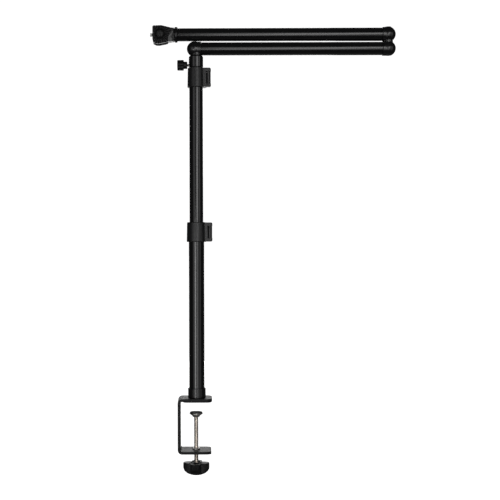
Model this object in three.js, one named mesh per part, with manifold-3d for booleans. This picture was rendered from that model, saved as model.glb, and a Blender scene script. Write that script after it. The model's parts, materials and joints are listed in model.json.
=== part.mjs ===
// Desk stand with a screw clamp, a three-stage mast and a folded double arm
// that ends in a tilting head with a threaded stud.
// Millimetres. +Z is up, +X runs along the arms, -Y is the front.
// Origin: on the mast axis, on the table top (underside of the upper jaw pad).
import * as THREE from 'three';
import { mergeVertices } from 'three/addons/utils/BufferGeometryUtils.js';
import Module from 'manifold-3d';

const wasm = await Module();
wasm.setup();

// ---------------------------------------------------------------- dimensions
// Clamp
const STRIP_T = 5;            // thickness of the bent clamp strip
const STRIP_W = 50;           // width of the strip, front to back
const JAW_PAD_T = 1.5;        // rubber under the upper jaw
const CLAMP_LEFT = -34.7;     // outer face of the clamp's back
const JAW_REACH = 27.4;       // free end of the upper jaw
const LOWER_REACH = 25.8;     // free end of the lower jaw
const JAW_OPENING = 88;       // table face down to the lower jaw
const BEND_R = 8;             // outside radius of the two bends
const BOARD_T = 20;           // thickness of the table top being held
const SCREW_D = 8;            // clamp spindle, M8
const SCREW_X = -1.5;         // the spindle stands a little to the left of the mast
const KNOB_TOP = -112;        // top of the clamp knob
const KNOB_H = 21;
const KNOB_R = 23.9;

// Mast
const LOWER_D = 28;
const MIDDLE_D = 24.8;
const INNER_D = 21.6;
const WALL = 1.2;
const SLIDE_GAP = 0.2;        // radial gap of a sliding fit
const FIX_GAP = 0.15;         // radial gap of parts that are glued or bolted
const SOCKET_D = 32.2;
const SOCKET_TOP = 24;
const LOWER_LOCK_Z = 289;     // bottom of the lower lock
const UPPER_LOCK_Z = 569.5;   // bottom of the upper lock
const LOCK_H = 36;
const LOCK_DRAFT = 0.35;      // the collars are this much wider below than at mid height
const SLEEVE_D = 26.2;
const SLEEVE_Z = 606.8;
const SLEEVE_TOP = 628;
const PAN_SCREW_Z = 610.6;
const PAN_KNOB_LEFT = -34;    // outer end of the thumb screw's head

// Arms
const ARM_D = 23.8;
const ARM_WALL = 1.4;
const LOWER_ARM_Z = 640.2;
const UPPER_ARM_Z = 666;
const PIVOT_X = 349.6;        // vertical pivot of the folded arm
const BALL_R = 13.9;          // cast elbow and knuckles
const BARREL_R = 13.1;
const ELBOW_X = -2.6;
const ELBOW_SEAM = 9.4;
const KNUCKLE_SEAM = 338.7;
const NECK_R = 8.8;           // necks of the two knuckles, where they meet
const WASHER_R = 7.2;         // friction washer let into the necks
const FLANGE_X = -33;         // free end of the upper arm tube

// Head
const TILT_X = -65.2;
const HEAD_LEFT = -78.7;
const CHEEK_T = 4;
const CHEEK_IN = 6.9;         // inner faces of the two cheeks
const STUD_D = 6.35;

const RING = 32;              // facets of the tubes
const FINE = 20;              // facets of bushes, bolt heads and knobs
const BALL_FACETS = 24;
const SMALL = 14;             // facets of pins and screw holes

// ------------------------------------------------------------------- helpers
function solid(geometry) {
  const plain = geometry.index ? geometry.toNonIndexed() : geometry.clone();
  plain.deleteAttribute('normal');
  plain.deleteAttribute('uv');
  const merged = mergeVertices(plain, 1e-5);
  const vertProperties = new Float32Array(merged.attributes.position.array);
  const triVerts = new Uint32Array(merged.index.array);
  return new wasm.Manifold(new wasm.Mesh({ numProp: 3, vertProperties, triVerts }));
}

function geometryOf(body) {
  const mesh = body.getMesh();
  const points = new Float32Array((mesh.vertProperties.length / mesh.numProp) * 3);
  for (let i = 0; i < points.length / 3; i += 1) {
    for (let k = 0; k < 3; k += 1) {
      points[i * 3 + k] = mesh.vertProperties[i * mesh.numProp + k];
    }
  }
  const geometry = new THREE.BufferGeometry();
  geometry.setAttribute('position', new THREE.BufferAttribute(points, 3));
  geometry.setIndex(new THREE.BufferAttribute(new Uint32Array(mesh.triVerts), 1));
  geometry.computeVertexNormals();
  return geometry;
}

// Turned body about +Z: profile is [radius, z] pairs, from the lowest point on
// the axis up the outside, or a closed loop that runs up the outside.
function turned(profile, facets = RING) {
  const points = profile.map(([r, z]) => new THREE.Vector2(r, z));
  const geometry = new THREE.LatheGeometry(points, facets);
  geometry.rotateX(Math.PI / 2);
  return solid(geometry);
}

function rod(radius, z0, z1, facets = FINE) {
  return turned([[0, z0], [radius, z0], [radius, z1], [0, z1]], facets);
}

function pipe(outer, inner, z0, z1, facets = RING) {
  return turned([[inner, z0], [outer, z0], [outer, z1], [inner, z1], [inner, z0]], facets);
}

function ball(radius, x, y, z) {
  const geometry = new THREE.SphereGeometry(radius, BALL_FACETS, BALL_FACETS / 2);
  geometry.translate(x, y, z);
  return solid(geometry);
}

function block(x0, x1, y0, y1, z0, z1) {
  const geometry = new THREE.BoxGeometry(x1 - x0, y1 - y0, z1 - z0);
  geometry.translate((x0 + x1) / 2, (y0 + y1) / 2, (z0 + z1) / 2);
  return solid(geometry);
}

// Turned bodies are made about +Z; these lay them along another axis.
function alongX(body) {
  return body.rotate([0, 90, 0]);
}

function alongY(body) {
  return body.rotate([-90, 0, 0]);
}

function at(body, x, y, z) {
  return body.translate([x, y, z]);
}

// Plan outline (x, y) raised from z0 to z1.
function raised(shape, z0, z1, curve = 6) {
  const geometry = new THREE.ExtrudeGeometry(shape, {
    depth: z1 - z0, bevelEnabled: false, curveSegments: curve,
  });
  geometry.translate(0, 0, z0);
  return solid(geometry);
}

// Side outline (x, z) given depth from y0 back to y1.
function sidewall(shape, y0, y1, curve = 6) {
  const geometry = new THREE.ExtrudeGeometry(shape, {
    depth: y1 - y0, bevelEnabled: false, curveSegments: curve,
  });
  geometry.rotateX(Math.PI / 2);
  geometry.translate(0, y1, 0);
  return solid(geometry);
}

function outline(points) {
  const shape = new THREE.Shape();
  points.forEach(([a, b], i) => (i ? shape.lineTo(a, b) : shape.moveTo(a, b)));
  shape.closePath();
  return shape;
}

function roundedRect(x0, x1, y0, y1, r) {
  const shape = new THREE.Shape();
  shape.moveTo(x0 + r, y0);
  shape.lineTo(x1 - r, y0);
  shape.absarc(x1 - r, y0 + r, r, -Math.PI / 2, 0, false);
  shape.lineTo(x1, y1 - r);
  shape.absarc(x1 - r, y1 - r, r, 0, Math.PI / 2, false);
  shape.lineTo(x0 + r, y1);
  shape.absarc(x0 + r, y1 - r, r, Math.PI / 2, Math.PI, false);
  shape.lineTo(x0, y0 + r);
  shape.absarc(x0 + r, y0 + r, r, Math.PI, Math.PI * 1.5, false);
  return shape;
}

// Round outline whose radius swings between two values a given number of times.
function lobed(outer, inner, lobes, phase, steps) {
  const shape = new THREE.Shape();
  for (let i = 0; i < steps; i += 1) {
    const angle = (i / steps) * Math.PI * 2;
    const wave = 0.5 + 0.5 * Math.cos(lobes * (angle - phase));
    const radius = inner + (outer - inner) * wave ** 0.6;
    const x = radius * Math.cos(angle);
    const y = radius * Math.sin(angle);
    if (i) {
      shape.lineTo(x, y);
    } else {
      shape.moveTo(x, y);
    }
  }
  shape.closePath();
  return shape;
}

function hexagon(acrossFlats) {
  const r = acrossFlats / Math.sqrt(3);
  const corners = [];
  for (let i = 0; i < 6; i += 1) {
    const angle = (i * Math.PI) / 3;
    corners.push([r * Math.cos(angle), r * Math.sin(angle)]);
  }
  return outline(corners);
}

// ----------------------------------------------------------------- materials
const FINISH = {
  tube_black: [0x15161a, 0.38, 0.6],
  cast_black: [0x24252a, 0.5, 0.1],
  clamp_paint: [0x3c3e42, 0.5, 0.3],
  lock_plastic: [0x2e2f33, 0.55, 0],
  head_plastic: [0x26272a, 0.5, 0],
  grip_plastic: [0x1b1c1e, 0.7, 0],
  rubber: [0x141414, 0.9, 0],
  steel: [0xb8b2a6, 0.3, 1],
  bright_steel: [0xc8b69c, 0.3, 1],
  black_steel: [0x202022, 0.4, 0.5],
  nylon: [0xd8d6cf, 0.5, 0],
};

const stand = new THREE.Group();
stand.name = 'desk_arm_stand';

function add(name, finish, body) {
  const [color, roughness, metalness] = FINISH[finish];
  const material = new THREE.MeshStandardMaterial({ color, roughness, metalness });
  const mesh = new THREE.Mesh(geometryOf(body), material);
  mesh.name = name;
  stand.add(mesh);
}

// ----------------------------------------------------------- clamp frame
const STRIP_TOP = JAW_PAD_T + STRIP_T;
const LOWER_JAW_TOP = -JAW_OPENING;
const LOWER_JAW_BOTTOM = LOWER_JAW_TOP - STRIP_T;
const HALF_W = STRIP_W / 2;
const BASE_BOLT_R = 3.9;

function clampFrame() {
  const inner = BEND_R - STRIP_T;
  const backIn = CLAMP_LEFT + STRIP_T;
  const c = new THREE.Shape();
  c.moveTo(JAW_REACH, STRIP_TOP);
  c.lineTo(CLAMP_LEFT + BEND_R, STRIP_TOP);
  c.absarc(CLAMP_LEFT + BEND_R, STRIP_TOP - BEND_R, BEND_R, Math.PI / 2, Math.PI, false);
  c.lineTo(CLAMP_LEFT, LOWER_JAW_BOTTOM + BEND_R);
  c.absarc(CLAMP_LEFT + BEND_R, LOWER_JAW_BOTTOM + BEND_R, BEND_R, Math.PI, Math.PI * 1.5, false);
  c.lineTo(LOWER_REACH, LOWER_JAW_BOTTOM);
  c.lineTo(LOWER_REACH, LOWER_JAW_TOP);
  c.lineTo(backIn + inner, LOWER_JAW_TOP);
  c.absarc(backIn + inner, LOWER_JAW_TOP + inner, inner, Math.PI * 1.5, Math.PI, true);
  c.lineTo(backIn, JAW_PAD_T - inner);
  c.absarc(backIn + inner, JAW_PAD_T - inner, inner, Math.PI, Math.PI / 2, true);
  c.lineTo(JAW_REACH, JAW_PAD_T);
  c.closePath();
  const strip = sidewall(c, -HALF_W, HALF_W, 6);
  const endRound = roundedRect(CLAMP_LEFT - 20, JAW_REACH, -HALF_W, HALF_W, 11);
  const plan = raised(endRound, LOWER_JAW_BOTTOM - 1, STRIP_TOP + 1, 6);
  const boltHole = rod(BASE_BOLT_R + 0.3, 0, STRIP_TOP + 1);
  const sink = turned([[0, 1], [8.8, 1], [8.8, 2], [4.2, 5.2], [0, 5.2]], FINE);
  const bushHole = at(rod(6.2, LOWER_JAW_BOTTOM - 1, LOWER_JAW_TOP + 1), SCREW_X, 0, 0);
  return strip.intersect(plan).subtract(boltHole).subtract(sink).subtract(bushHole);
}

add('clamp_frame', 'clamp_paint', clampFrame());

function jawPad() {
  const left = CLAMP_LEFT + BEND_R + 1;
  const plan = roundedRect(left, JAW_REACH - 0.6, -HALF_W + 0.8, HALF_W - 0.8, 9);
  return raised(plan, 0, JAW_PAD_T - 0.1, 5);
}

add('upper_jaw_pad', 'rubber', jawPad());

// ------------------------------------------------------------ base of the mast
const LOWER_R = LOWER_D / 2;
const SOCKET_FLOOR = STRIP_TOP + 3.4;

function baseSocket() {
  const r = SOCKET_D / 2;
  const bore = LOWER_R + FIX_GAP;
  return turned([
    [BASE_BOLT_R + 0.3, STRIP_TOP + 0.1],
    [r, STRIP_TOP + 0.1],
    [r, SOCKET_TOP - 1],
    [r - 1, SOCKET_TOP],
    [bore, SOCKET_TOP],
    [bore, SOCKET_FLOOR],
    [BASE_BOLT_R + 0.3, SOCKET_FLOOR],
    [BASE_BOLT_R + 0.3, STRIP_TOP + 0.1],
  ]);
}

add('base_socket', 'cast_black', baseSocket());

const LOWER_TUBE_Z = SOCKET_FLOOR + 0.2;
const PLUG_TOP = 34;

function basePlug() {
  const r = LOWER_R - WALL - FIX_GAP;
  const hole = BASE_BOLT_R + 0.15;
  return pipe(r, hole, LOWER_TUBE_Z, PLUG_TOP, FINE);
}

add('base_plug', 'nylon', basePlug());

function baseBolt() {
  return turned([
    [0, 1.9], [8.3, 1.9], [8.3, 2.2], [BASE_BOLT_R, 5.1], [BASE_BOLT_R, 28], [3, 29], [0, 29],
  ], FINE).subtract(raised(hexagon(5), 1, 4.2));
}

add('base_bolt', 'steel', baseBolt());

// -------------------------------------------------------------- telescope tubes
const LOWER_TUBE_TOP = LOWER_LOCK_Z + 18;
const MIDDLE_R = MIDDLE_D / 2;
const INNER_R = INNER_D / 2;
const MIDDLE_Z = 241;
const MIDDLE_TOP = UPPER_LOCK_Z + 18;
const INNER_Z = 262;
const INNER_TOP = SLEEVE_Z - 0.9;

add('lower_tube', 'tube_black', pipe(LOWER_R, LOWER_R - WALL, LOWER_TUBE_Z, LOWER_TUBE_TOP));
add('middle_tube', 'tube_black', pipe(MIDDLE_R, MIDDLE_R - WALL, MIDDLE_Z, MIDDLE_TOP));
add('inner_tube', 'tube_black', pipe(INNER_R, INNER_R - WALL, INNER_Z, INNER_TOP));

// A plastic foot plugged into the end of a sliding tube; its collar runs in
// the bore of the tube outside it.
function tubeFoot(radius, outerBore, z) {
  const plug = radius - WALL - FIX_GAP;
  const collar = outerBore - SLIDE_GAP;
  return turned([
    [plug - 2, z - 6], [collar - 0.6, z - 6], [collar, z - 5.2], [collar, z - 0.1],
    [plug, z - 0.1], [plug, z + 11], [plug - 2, z + 11], [plug - 2, z - 6],
  ], FINE);
}

add('middle_tube_foot', 'nylon', tubeFoot(MIDDLE_R, LOWER_R - WALL, MIDDLE_Z));
add('inner_tube_foot', 'nylon', tubeFoot(INNER_R, MIDDLE_R - WALL, INNER_Z));

// ------------------------------------------------------------------ lever locks
const EAR_Y = 8.5;            // half depth of the two clamp ears
const SPLIT = 0.9;            // half width of the split between them
const KNUCKLE_H = 7;          // hinge knuckles at the top and bottom of the lug
const LUG_CORNER = 2.8;
const PIN_Y = -4.9;
const PIN_R = 1.5;
const LEVER_BARREL_R = 3.3;   // barrel of the lever round its pin
const PADDLE_T = 2.7;
const LEVER_EDGE = 5.8;       // the paddle stops this far from both ends of the lock
const CLEAR_Y = 1;            // it widens behind this depth, clear of the knuckles
const BOLT_R = 1.5;
const BOLT_HEAD_R = 2.4;
const BOLT_HEAD_Y = 6.4;      // floor of the sink in the rear ear

// outerTube: the tube the collar is fixed to; slidingTube: the tube it grips.
function lockSizes(z, radius, reach, outerTube, slidingTube) {
  return {
    z,
    radius,
    reach,
    outerTube,
    slidingTube,
    earEnd: reach - 8.05,
    pinX: reach - 4.6,
    boltX: outerTube + 2.3,
    seat: z + 18,
  };
}

const LOWER_LOCK = lockSizes(LOWER_LOCK_Z, 17.4, 29, LOWER_R, MIDDLE_R);
const UPPER_LOCK = lockSizes(UPPER_LOCK_Z, 15.3, 27.1, MIDDLE_R, INNER_R);

function lockCollar(s) {
  const top = s.z + LOCK_H;
  const wide = s.radius + LOCK_DRAFT;
  const narrow = s.radius - LOCK_DRAFT;
  const ring = turned([
    [0, s.z], [wide - 1.2, s.z], [wide, s.z + 1.4], [narrow, top - 1.2],
    [narrow - 1.2, top], [0, top],
  ]);
  const ears = block(5, s.earEnd, -EAR_Y, EAR_Y, s.z, top);
  const knuckle = roundedRect(s.earEnd - 3, s.reach, PIN_Y - 3.6, -SPLIT, 3);
  const lowKnuckle = raised(knuckle, s.z, s.z + KNUCKLE_H);
  const highKnuckle = raised(knuckle, top - KNUCKLE_H, top);
  const side = roundedRect(-5, s.reach, s.z + 0.6, top - 0.6, LUG_CORNER);
  const lug = ears.add(lowKnuckle).add(highKnuckle).intersect(sidewall(side, -20, 20, 4));
  const fixedBore = rod(s.outerTube + FIX_GAP, s.z - 1, s.seat + 0.3, RING);
  const slideBore = rod(s.slidingTube + SLIDE_GAP, s.z - 1, top + 1, RING);
  const split = block(s.slidingTube - 3, s.reach + 5, -SPLIT, SPLIT, s.seat + 1.5, top + 1);
  const lowSplit = block(s.outerTube + 0.5, s.reach + 5, -SPLIT, SPLIT, s.z - 1, top + 1);
  const pinHole = at(rod(PIN_R + 0.1, s.z + 1, top - 1, SMALL), s.pinX, PIN_Y, 0);
  const middle = s.z + LOCK_H / 2;
  const boltHole = at(alongY(rod(BOLT_R + 0.2, -PIN_R + PIN_Y, 20, SMALL)), s.boltX, 0, middle);
  const headSink = at(alongY(rod(BOLT_HEAD_R + 0.15, BOLT_HEAD_Y, 20, SMALL)), s.boltX, 0, middle);
  return ring.add(lug)
    .subtract(fixedBore).subtract(slideBore).subtract(split).subtract(lowSplit)
    .subtract(pinHole).subtract(boltHole).subtract(headSink);
}

// The lever's paddle runs back along the lug, then wraps the back of the collar.
// Behind the hinge knuckles it is a little wider than the gap between them.
function lockLever(s) {
  const low = s.z + KNUCKLE_H + 0.6;
  const high = s.z + LOCK_H - KNUCKLE_H - 0.6;
  const barrel = at(rod(LEVER_BARREL_R, low, high, FINE), s.pinX, PIN_Y, 0);
  const outside = s.reach - 0.4;
  const inside = outside - PADDLE_T;
  const hug = s.radius + 3;
  const paddle = new THREE.Shape();
  paddle.moveTo(inside, PIN_Y);
  paddle.lineTo(outside, PIN_Y);
  paddle.lineTo(outside, 5);
  paddle.quadraticCurveTo(outside - 1, hug * 0.8, hug * 0.55, hug + PADDLE_T * 0.6);
  paddle.lineTo(hug * 0.2, hug + PADDLE_T + 2.4);
  paddle.lineTo(hug * 0.17, hug + PADDLE_T);
  paddle.lineTo(hug * 0.5, hug - PADDLE_T * 0.5);
  paddle.quadraticCurveTo(inside - 1, hug * 0.65, inside, 4);
  paddle.closePath();
  const arm = raised(paddle, low, high, 6);
  const tall = raised(paddle, s.z + LEVER_EDGE, s.z + LOCK_H - LEVER_EDGE, 6)
    .subtract(block(-50, 50, -20, CLEAR_Y, s.z, s.z + LOCK_H));
  return barrel.add(arm).add(tall).subtract(at(rod(PIN_R + 0.1, low - 1, high + 1, SMALL), s.pinX, PIN_Y, 0));
}

function lockPin(s) {
  return at(rod(PIN_R, s.z + 1.2, s.z + LOCK_H - 1.2, SMALL), s.pinX, PIN_Y, 0);
}

// Cap screw from the rear ear into a blind hole in the front one.
function lockBolt(s) {
  const shank = rod(BOLT_R, PIN_Y - 1, BOLT_HEAD_Y + 0.1, SMALL);
  const head = rod(BOLT_HEAD_R, BOLT_HEAD_Y + 0.05, BOLT_HEAD_Y + 1.9, SMALL);
  const socket = raised(hexagon(2.5), BOLT_HEAD_Y + 0.8, BOLT_HEAD_Y + 3);
  return at(alongY(shank.add(head).subtract(socket)), s.boltX, 0, s.z + LOCK_H / 2);
}

for (const [name, sizes] of [['lower', LOWER_LOCK], ['upper', UPPER_LOCK]]) {
  add(`${name}_lock_collar`, 'lock_plastic', lockCollar(sizes));
  add(`${name}_lock_lever`, 'lock_plastic', lockLever(sizes));
  add(`${name}_lock_pin`, 'black_steel', lockPin(sizes));
  add(`${name}_lock_bolt`, 'black_steel', lockBolt(sizes));
}

// ----------------------------------------------------------------- pan swivel
const SLEEVE_R = SLEEVE_D / 2;
const SLEEVE_BORE = 9.8;
const POST_R = 8;
const POST_NECK_R = 6.8;      // groove that the brake pad bears in
const POST_TOP = 620.4;
const PAN_HOLE_R = 2.5;
const PAN_SCREW_LEFT = -25.5;

function panPost() {
  const plug = INNER_R - WALL - FIX_GAP;
  return turned([
    [0, INNER_TOP - 20], [plug, INNER_TOP - 20], [plug, INNER_TOP + 0.1],
    [INNER_R, INNER_TOP + 0.1], [INNER_R, SLEEVE_Z - 0.2], [POST_R, SLEEVE_Z - 0.2],
    [POST_R, PAN_SCREW_Z - 3], [POST_NECK_R, PAN_SCREW_Z - 2.8],
    [POST_NECK_R, PAN_SCREW_Z + 2.8], [POST_R, PAN_SCREW_Z + 3],
    [POST_R, POST_TOP - 1], [POST_R - 1, POST_TOP], [0, POST_TOP],
  ], FINE);
}

function panSleeve() {
  const body = turned([
    [SLEEVE_BORE, SLEEVE_Z], [SLEEVE_R, SLEEVE_Z], [SLEEVE_R, SLEEVE_TOP - 2.6],
    [SLEEVE_R - 2.2, SLEEVE_TOP], [SLEEVE_BORE, SLEEVE_TOP], [SLEEVE_BORE, SLEEVE_Z],
  ]);
  const hole = at(alongX(rod(PAN_HOLE_R + 0.1, -20, -5, SMALL)), 0, 0, PAN_SCREW_Z);
  return body.subtract(hole);
}

function panBush() {
  const body = pipe(SLEEVE_BORE - FIX_GAP, POST_R + 0.1, SLEEVE_Z + 0.2, POST_TOP + 0.4, FINE);
  const hole = at(alongX(rod(PAN_HOLE_R + 0.1, -20, -5, SMALL)), 0, 0, PAN_SCREW_Z);
  return body.subtract(hole);
}

function panBrakePad() {
  return at(alongX(rod(2.1, -10.2, -POST_NECK_R - 0.2, SMALL)), 0, 0, PAN_SCREW_Z);
}

function panScrew() {
  return at(alongX(rod(PAN_HOLE_R - 0.05, PAN_SCREW_LEFT, -10.4, FINE)), 0, 0, PAN_SCREW_Z);
}

function panKnob() {
  const left = PAN_KNOB_LEFT;
  const right = left + 11.8;
  const hubEnd = right + 6.4;
  const head = raised(lobed(9.8, 8, 6, 0.35, 36), left, right);
  const hub = turned([
    [0, right - 1], [6.6, right - 1], [6.6, hubEnd - 1], [5.6, hubEnd], [0, hubEnd],
  ], FINE);
  const crown = turned([
    [0, left], [8.2, left], [10.4, left + 2], [10.4, right - 1.6], [9.2, right], [6, hubEnd],
    [0, hubEnd],
  ], FINE);
  const bore = rod(PAN_HOLE_R + 0.05, PAN_SCREW_LEFT - 0.2, hubEnd + 1, FINE);
  const body = head.intersect(crown).add(hub).subtract(bore);
  return at(alongX(body), 0, 0, PAN_SCREW_Z);
}

add('pan_post', 'black_steel', panPost());
add('pan_sleeve', 'tube_black', panSleeve());
add('pan_bush', 'nylon', panBush());
add('pan_brake_pad', 'nylon', panBrakePad());
add('pan_lock_screw', 'steel', panScrew());
add('pan_lock_knob', 'grip_plastic', panKnob());

// ------------------------------------------------------------------ lower arm
const ARM_R = ARM_D / 2;
const ARM_BORE = ARM_R - ARM_WALL;
const SPIGOT_R = ARM_BORE - FIX_GAP;
const SPIGOT_L = 18;
const BALL_CUT = 13;          // the cast balls are flattened at this height
const ELBOW_NECK_R = 10.9;    // upright neck of the elbow on the pan sleeve

function mastElbow() {
  const joint = ball(BALL_R, ELBOW_X, 0, LOWER_ARM_Z);
  const barrel = at(alongX(rod(BARREL_R, ELBOW_X, ELBOW_SEAM, RING)), 0, 0, LOWER_ARM_Z);
  const spigot = at(alongX(rod(SPIGOT_R, ELBOW_SEAM - 2, ELBOW_SEAM + SPIGOT_L, RING)), 0, 0, LOWER_ARM_Z);
  const slab = block(-40, 60, -30, 30, SLEEVE_TOP + 0.2, LOWER_ARM_Z + BALL_CUT - 0.3);
  const shoulder = rod(ELBOW_NECK_R, LOWER_ARM_Z - BALL_CUT, LOWER_ARM_Z, RING)
    .intersect(block(-20, ELBOW_SEAM, -20, 20, LOWER_ARM_Z - 20, LOWER_ARM_Z + 20));
  const stem = rod(SLEEVE_BORE - FIX_GAP, POST_TOP + 0.8, LOWER_ARM_Z, RING);
  return joint.add(barrel).add(shoulder).add(spigot).intersect(slab).add(stem);
}

add('mast_elbow', 'cast_black', mastElbow());

function armTube(x0, x1, z) {
  return at(alongX(pipe(ARM_R, ARM_BORE, x0, x1)), 0, 0, z);
}

add('lower_arm_tube', 'tube_black', armTube(ELBOW_SEAM + 0.3, KNUCKLE_SEAM - 0.3, LOWER_ARM_Z));

// ----------------------------------------------------------- folding knuckles
const MID_Z = (LOWER_ARM_Z + UPPER_ARM_Z) / 2;
const WASHER_T = 1;
const PIVOT_R = 3;
const RECESS_R = 6.6;
const RECESS_DEPTH = 7.2;
const FACE_GAP = 0.3;         // each knuckle stops this far from the middle plane

// side: +1 puts the friction face on top of the ball, -1 below it.
function knuckle(z, side) {
  const joint = ball(BALL_R, PIVOT_X, 0, z);
  const barrel = at(alongX(rod(BARREL_R, KNUCKLE_SEAM, PIVOT_X, RING)), 0, 0, z);
  const spigot = at(alongX(rod(SPIGOT_R, KNUCKLE_SEAM - SPIGOT_L, KNUCKLE_SEAM + 2, RING)), 0, 0, z);
  const face = MID_Z - side * FACE_GAP;
  const washerSeat = MID_Z - side * (WASHER_T / 2 + 0.1);
  const outer = z - side * BALL_CUT;
  const slab = block(300, 380, -30, 30, Math.min(face, outer), Math.max(face, outer));
  const boss = at(rod(NECK_R, Math.min(z, face), Math.max(z, face), RING), PIVOT_X, 0, 0);
  const seat = at(rod(WASHER_R + 0.4, Math.min(washerSeat, MID_Z), Math.max(washerSeat, MID_Z), RING),
    PIVOT_X, 0, 0);
  const hole = at(rod(PIVOT_R + 0.2, z - 30, z + 30, SMALL), PIVOT_X, 0, 0);
  const floor = outer + side * RECESS_DEPTH;
  const mouth = outer - side;
  const recess = at(rod(RECESS_R, Math.min(floor, mouth), Math.max(floor, mouth), FINE), PIVOT_X, 0, 0);
  return joint.add(barrel).add(spigot).intersect(slab).add(boss)
    .subtract(seat).subtract(hole).subtract(recess);
}

add('lower_knuckle', 'cast_black', knuckle(LOWER_ARM_Z, 1));
add('upper_knuckle', 'cast_black', knuckle(UPPER_ARM_Z, -1));

const BOLT_SEAT = LOWER_ARM_Z - BALL_CUT + RECESS_DEPTH;
const NUT_SEAT = UPPER_ARM_Z + BALL_CUT - RECESS_DEPTH;

function pivotBolt() {
  const body = turned([
    [0, BOLT_SEAT - 6], [4.7, BOLT_SEAT - 6], [5.2, BOLT_SEAT - 5.5], [5.2, BOLT_SEAT - 0.1],
    [PIVOT_R, BOLT_SEAT - 0.1], [PIVOT_R, NUT_SEAT + 5.4], [0, NUT_SEAT + 5.4],
  ], FINE);
  return at(body.subtract(raised(hexagon(5), BOLT_SEAT - 7, BOLT_SEAT - 3)), PIVOT_X, 0, 0);
}

add('pivot_bolt', 'black_steel', pivotBolt());
add('friction_washer', 'nylon', at(
  pipe(WASHER_R, PIVOT_R + 0.2, MID_Z - WASHER_T / 2, MID_Z + WASHER_T / 2, FINE), PIVOT_X, 0, 0,
));
add('spring_washer', 'steel', at(
  turned([
    [PIVOT_R + 0.2, NUT_SEAT + 0.6], [5.8, NUT_SEAT + 0.1], [5.8, NUT_SEAT + 0.6],
    [PIVOT_R + 0.2, NUT_SEAT + 1.1], [PIVOT_R + 0.2, NUT_SEAT + 0.6],
  ], FINE), PIVOT_X, 0, 0,
));
add('pivot_nut', 'steel', at(
  raised(hexagon(10), NUT_SEAT + 1.2, NUT_SEAT + 5.2).subtract(
    rod(PIVOT_R + 0.1, NUT_SEAT, NUT_SEAT + 7, FINE),
  ), PIVOT_X, 0, 0,
));
add('pivot_cap', 'lock_plastic', at(
  turned([
    [0, NUT_SEAT + 5.8], [RECESS_R - 0.15, NUT_SEAT + 5.8], [RECESS_R - 0.15, NUT_SEAT + 7.2],
    [4.6, NUT_SEAT + 7.7], [0, NUT_SEAT + 7.9],
  ], FINE), PIVOT_X, 0, 0,
));

// ------------------------------------------------------------------ upper arm
add('upper_arm_tube', 'tube_black', armTube(FLANGE_X + 0.3, KNUCKLE_SEAM - 0.3, UPPER_ARM_Z));

const ROLL_BOLT_R = 2.5;
const FLANGE_FACE = -38.4;
const FLANGE_R = 14.2;

function armEndPlug() {
  const body = turned([
    [ROLL_BOLT_R + 0.2, FLANGE_FACE], [13.3, FLANGE_FACE], [FLANGE_R, FLANGE_FACE + 0.9],
    [FLANGE_R, FLANGE_FACE + 4.2], [12.7, FLANGE_X], [SPIGOT_R, FLANGE_X], [SPIGOT_R, FLANGE_X + 16],
    [ROLL_BOLT_R + 0.2, FLANGE_X + 16], [ROLL_BOLT_R + 0.2, FLANGE_FACE],
  ]);
  return at(alongX(body), 0, 0, UPPER_ARM_Z);
}

add('arm_end_plug', 'cast_black', armEndPlug());

// ------------------------------------------------------------------------ head
const NECK_FACE = FLANGE_FACE - 0.5;   // rolling face of the head neck
const TONGUE_Y = 5.9;
const DISC_T = 0.8;
const TILT_R = 2.5;

// A thin faceted shoulder, then a broad tongue that ends in the eye of the tilt
// bolt. Low wedges on the tongue's two sides turn its faces a little to the arm.
function headNeck() {
  const z = UPPER_ARM_Z;
  const shoulder = turned([
    [0, NECK_FACE - 1.9], [13.3, NECK_FACE - 1.9], [13.3, NECK_FACE - 1], [12.6, NECK_FACE],
    [0, NECK_FACE],
  ], 8);
  const tongue = outline([
    [NECK_FACE - 1, z + 11.8], [NECK_FACE - 7, z + 12.6], [TILT_X + 15, z + 10.6],
    [TILT_X, z + 8.2], [TILT_X, z - 8.2], [TILT_X + 14.6, z - 13],
    [NECK_FACE - 8, z - 13.6], [NECK_FACE - 1, z - 12],
  ]);
  const plate = sidewall(tongue, -TONGUE_Y, TONGUE_Y);
  const eye = at(alongY(rod(8.2, -TONGUE_Y, TONGUE_Y, FINE)), TILT_X, 0, z);
  const wedge = outline([
    [NECK_FACE - 2, TONGUE_Y - 2], [NECK_FACE - 2, TONGUE_Y], [TILT_X + 15, TONGUE_Y + 0.8],
    [TILT_X + 14, TONGUE_Y - 2],
  ]);
  const facet = outline([
    [TILT_X + 14, z - 14.5], [TILT_X + 21.7, z - 13.5], [TILT_X + 21.7, z - 7],
    [TILT_X + 18.7, z - 4.5], [TILT_X + 20.7, z - 2], [TILT_X + 25.3, z + 5.2],
    [TILT_X + 22.4, z + 6], [TILT_X + 17.7, z - 0.5], [TILT_X + 14, z - 5],
  ]);
  const rearWedge = raised(wedge, z - 15, z + 8);
  const wedges = rearWedge.add(rearWedge.mirror([0, 1, 0]))
    .intersect(sidewall(tongue, -TONGUE_Y - 1, TONGUE_Y + 1))
    .intersect(sidewall(facet, -TONGUE_Y - 1, TONGUE_Y + 1));
  const tiltHole = at(alongY(rod(TILT_R + 0.2, -20, 20, FINE)), TILT_X, 0, z);
  const rollHole = at(alongX(rod(ROLL_BOLT_R + 0.2, NECK_FACE - 12, -30, FINE)), 0, 0, z);
  return at(alongX(shoulder), 0, 0, z).add(plate).add(eye).add(wedges)
    .subtract(tiltHole).subtract(rollHole);
}

add('head_neck', 'head_plastic', headNeck());

function rollBolt() {
  const body = turned([
    [0, NECK_FACE - 11.6], [ROLL_BOLT_R, NECK_FACE - 11.6], [ROLL_BOLT_R, FLANGE_X + 16.3],
    [4.6, FLANGE_X + 16.3], [4.6, FLANGE_X + 20.5], [0, FLANGE_X + 20.5],
  ], FINE);
  return at(alongX(body), 0, 0, UPPER_ARM_Z);
}

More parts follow.
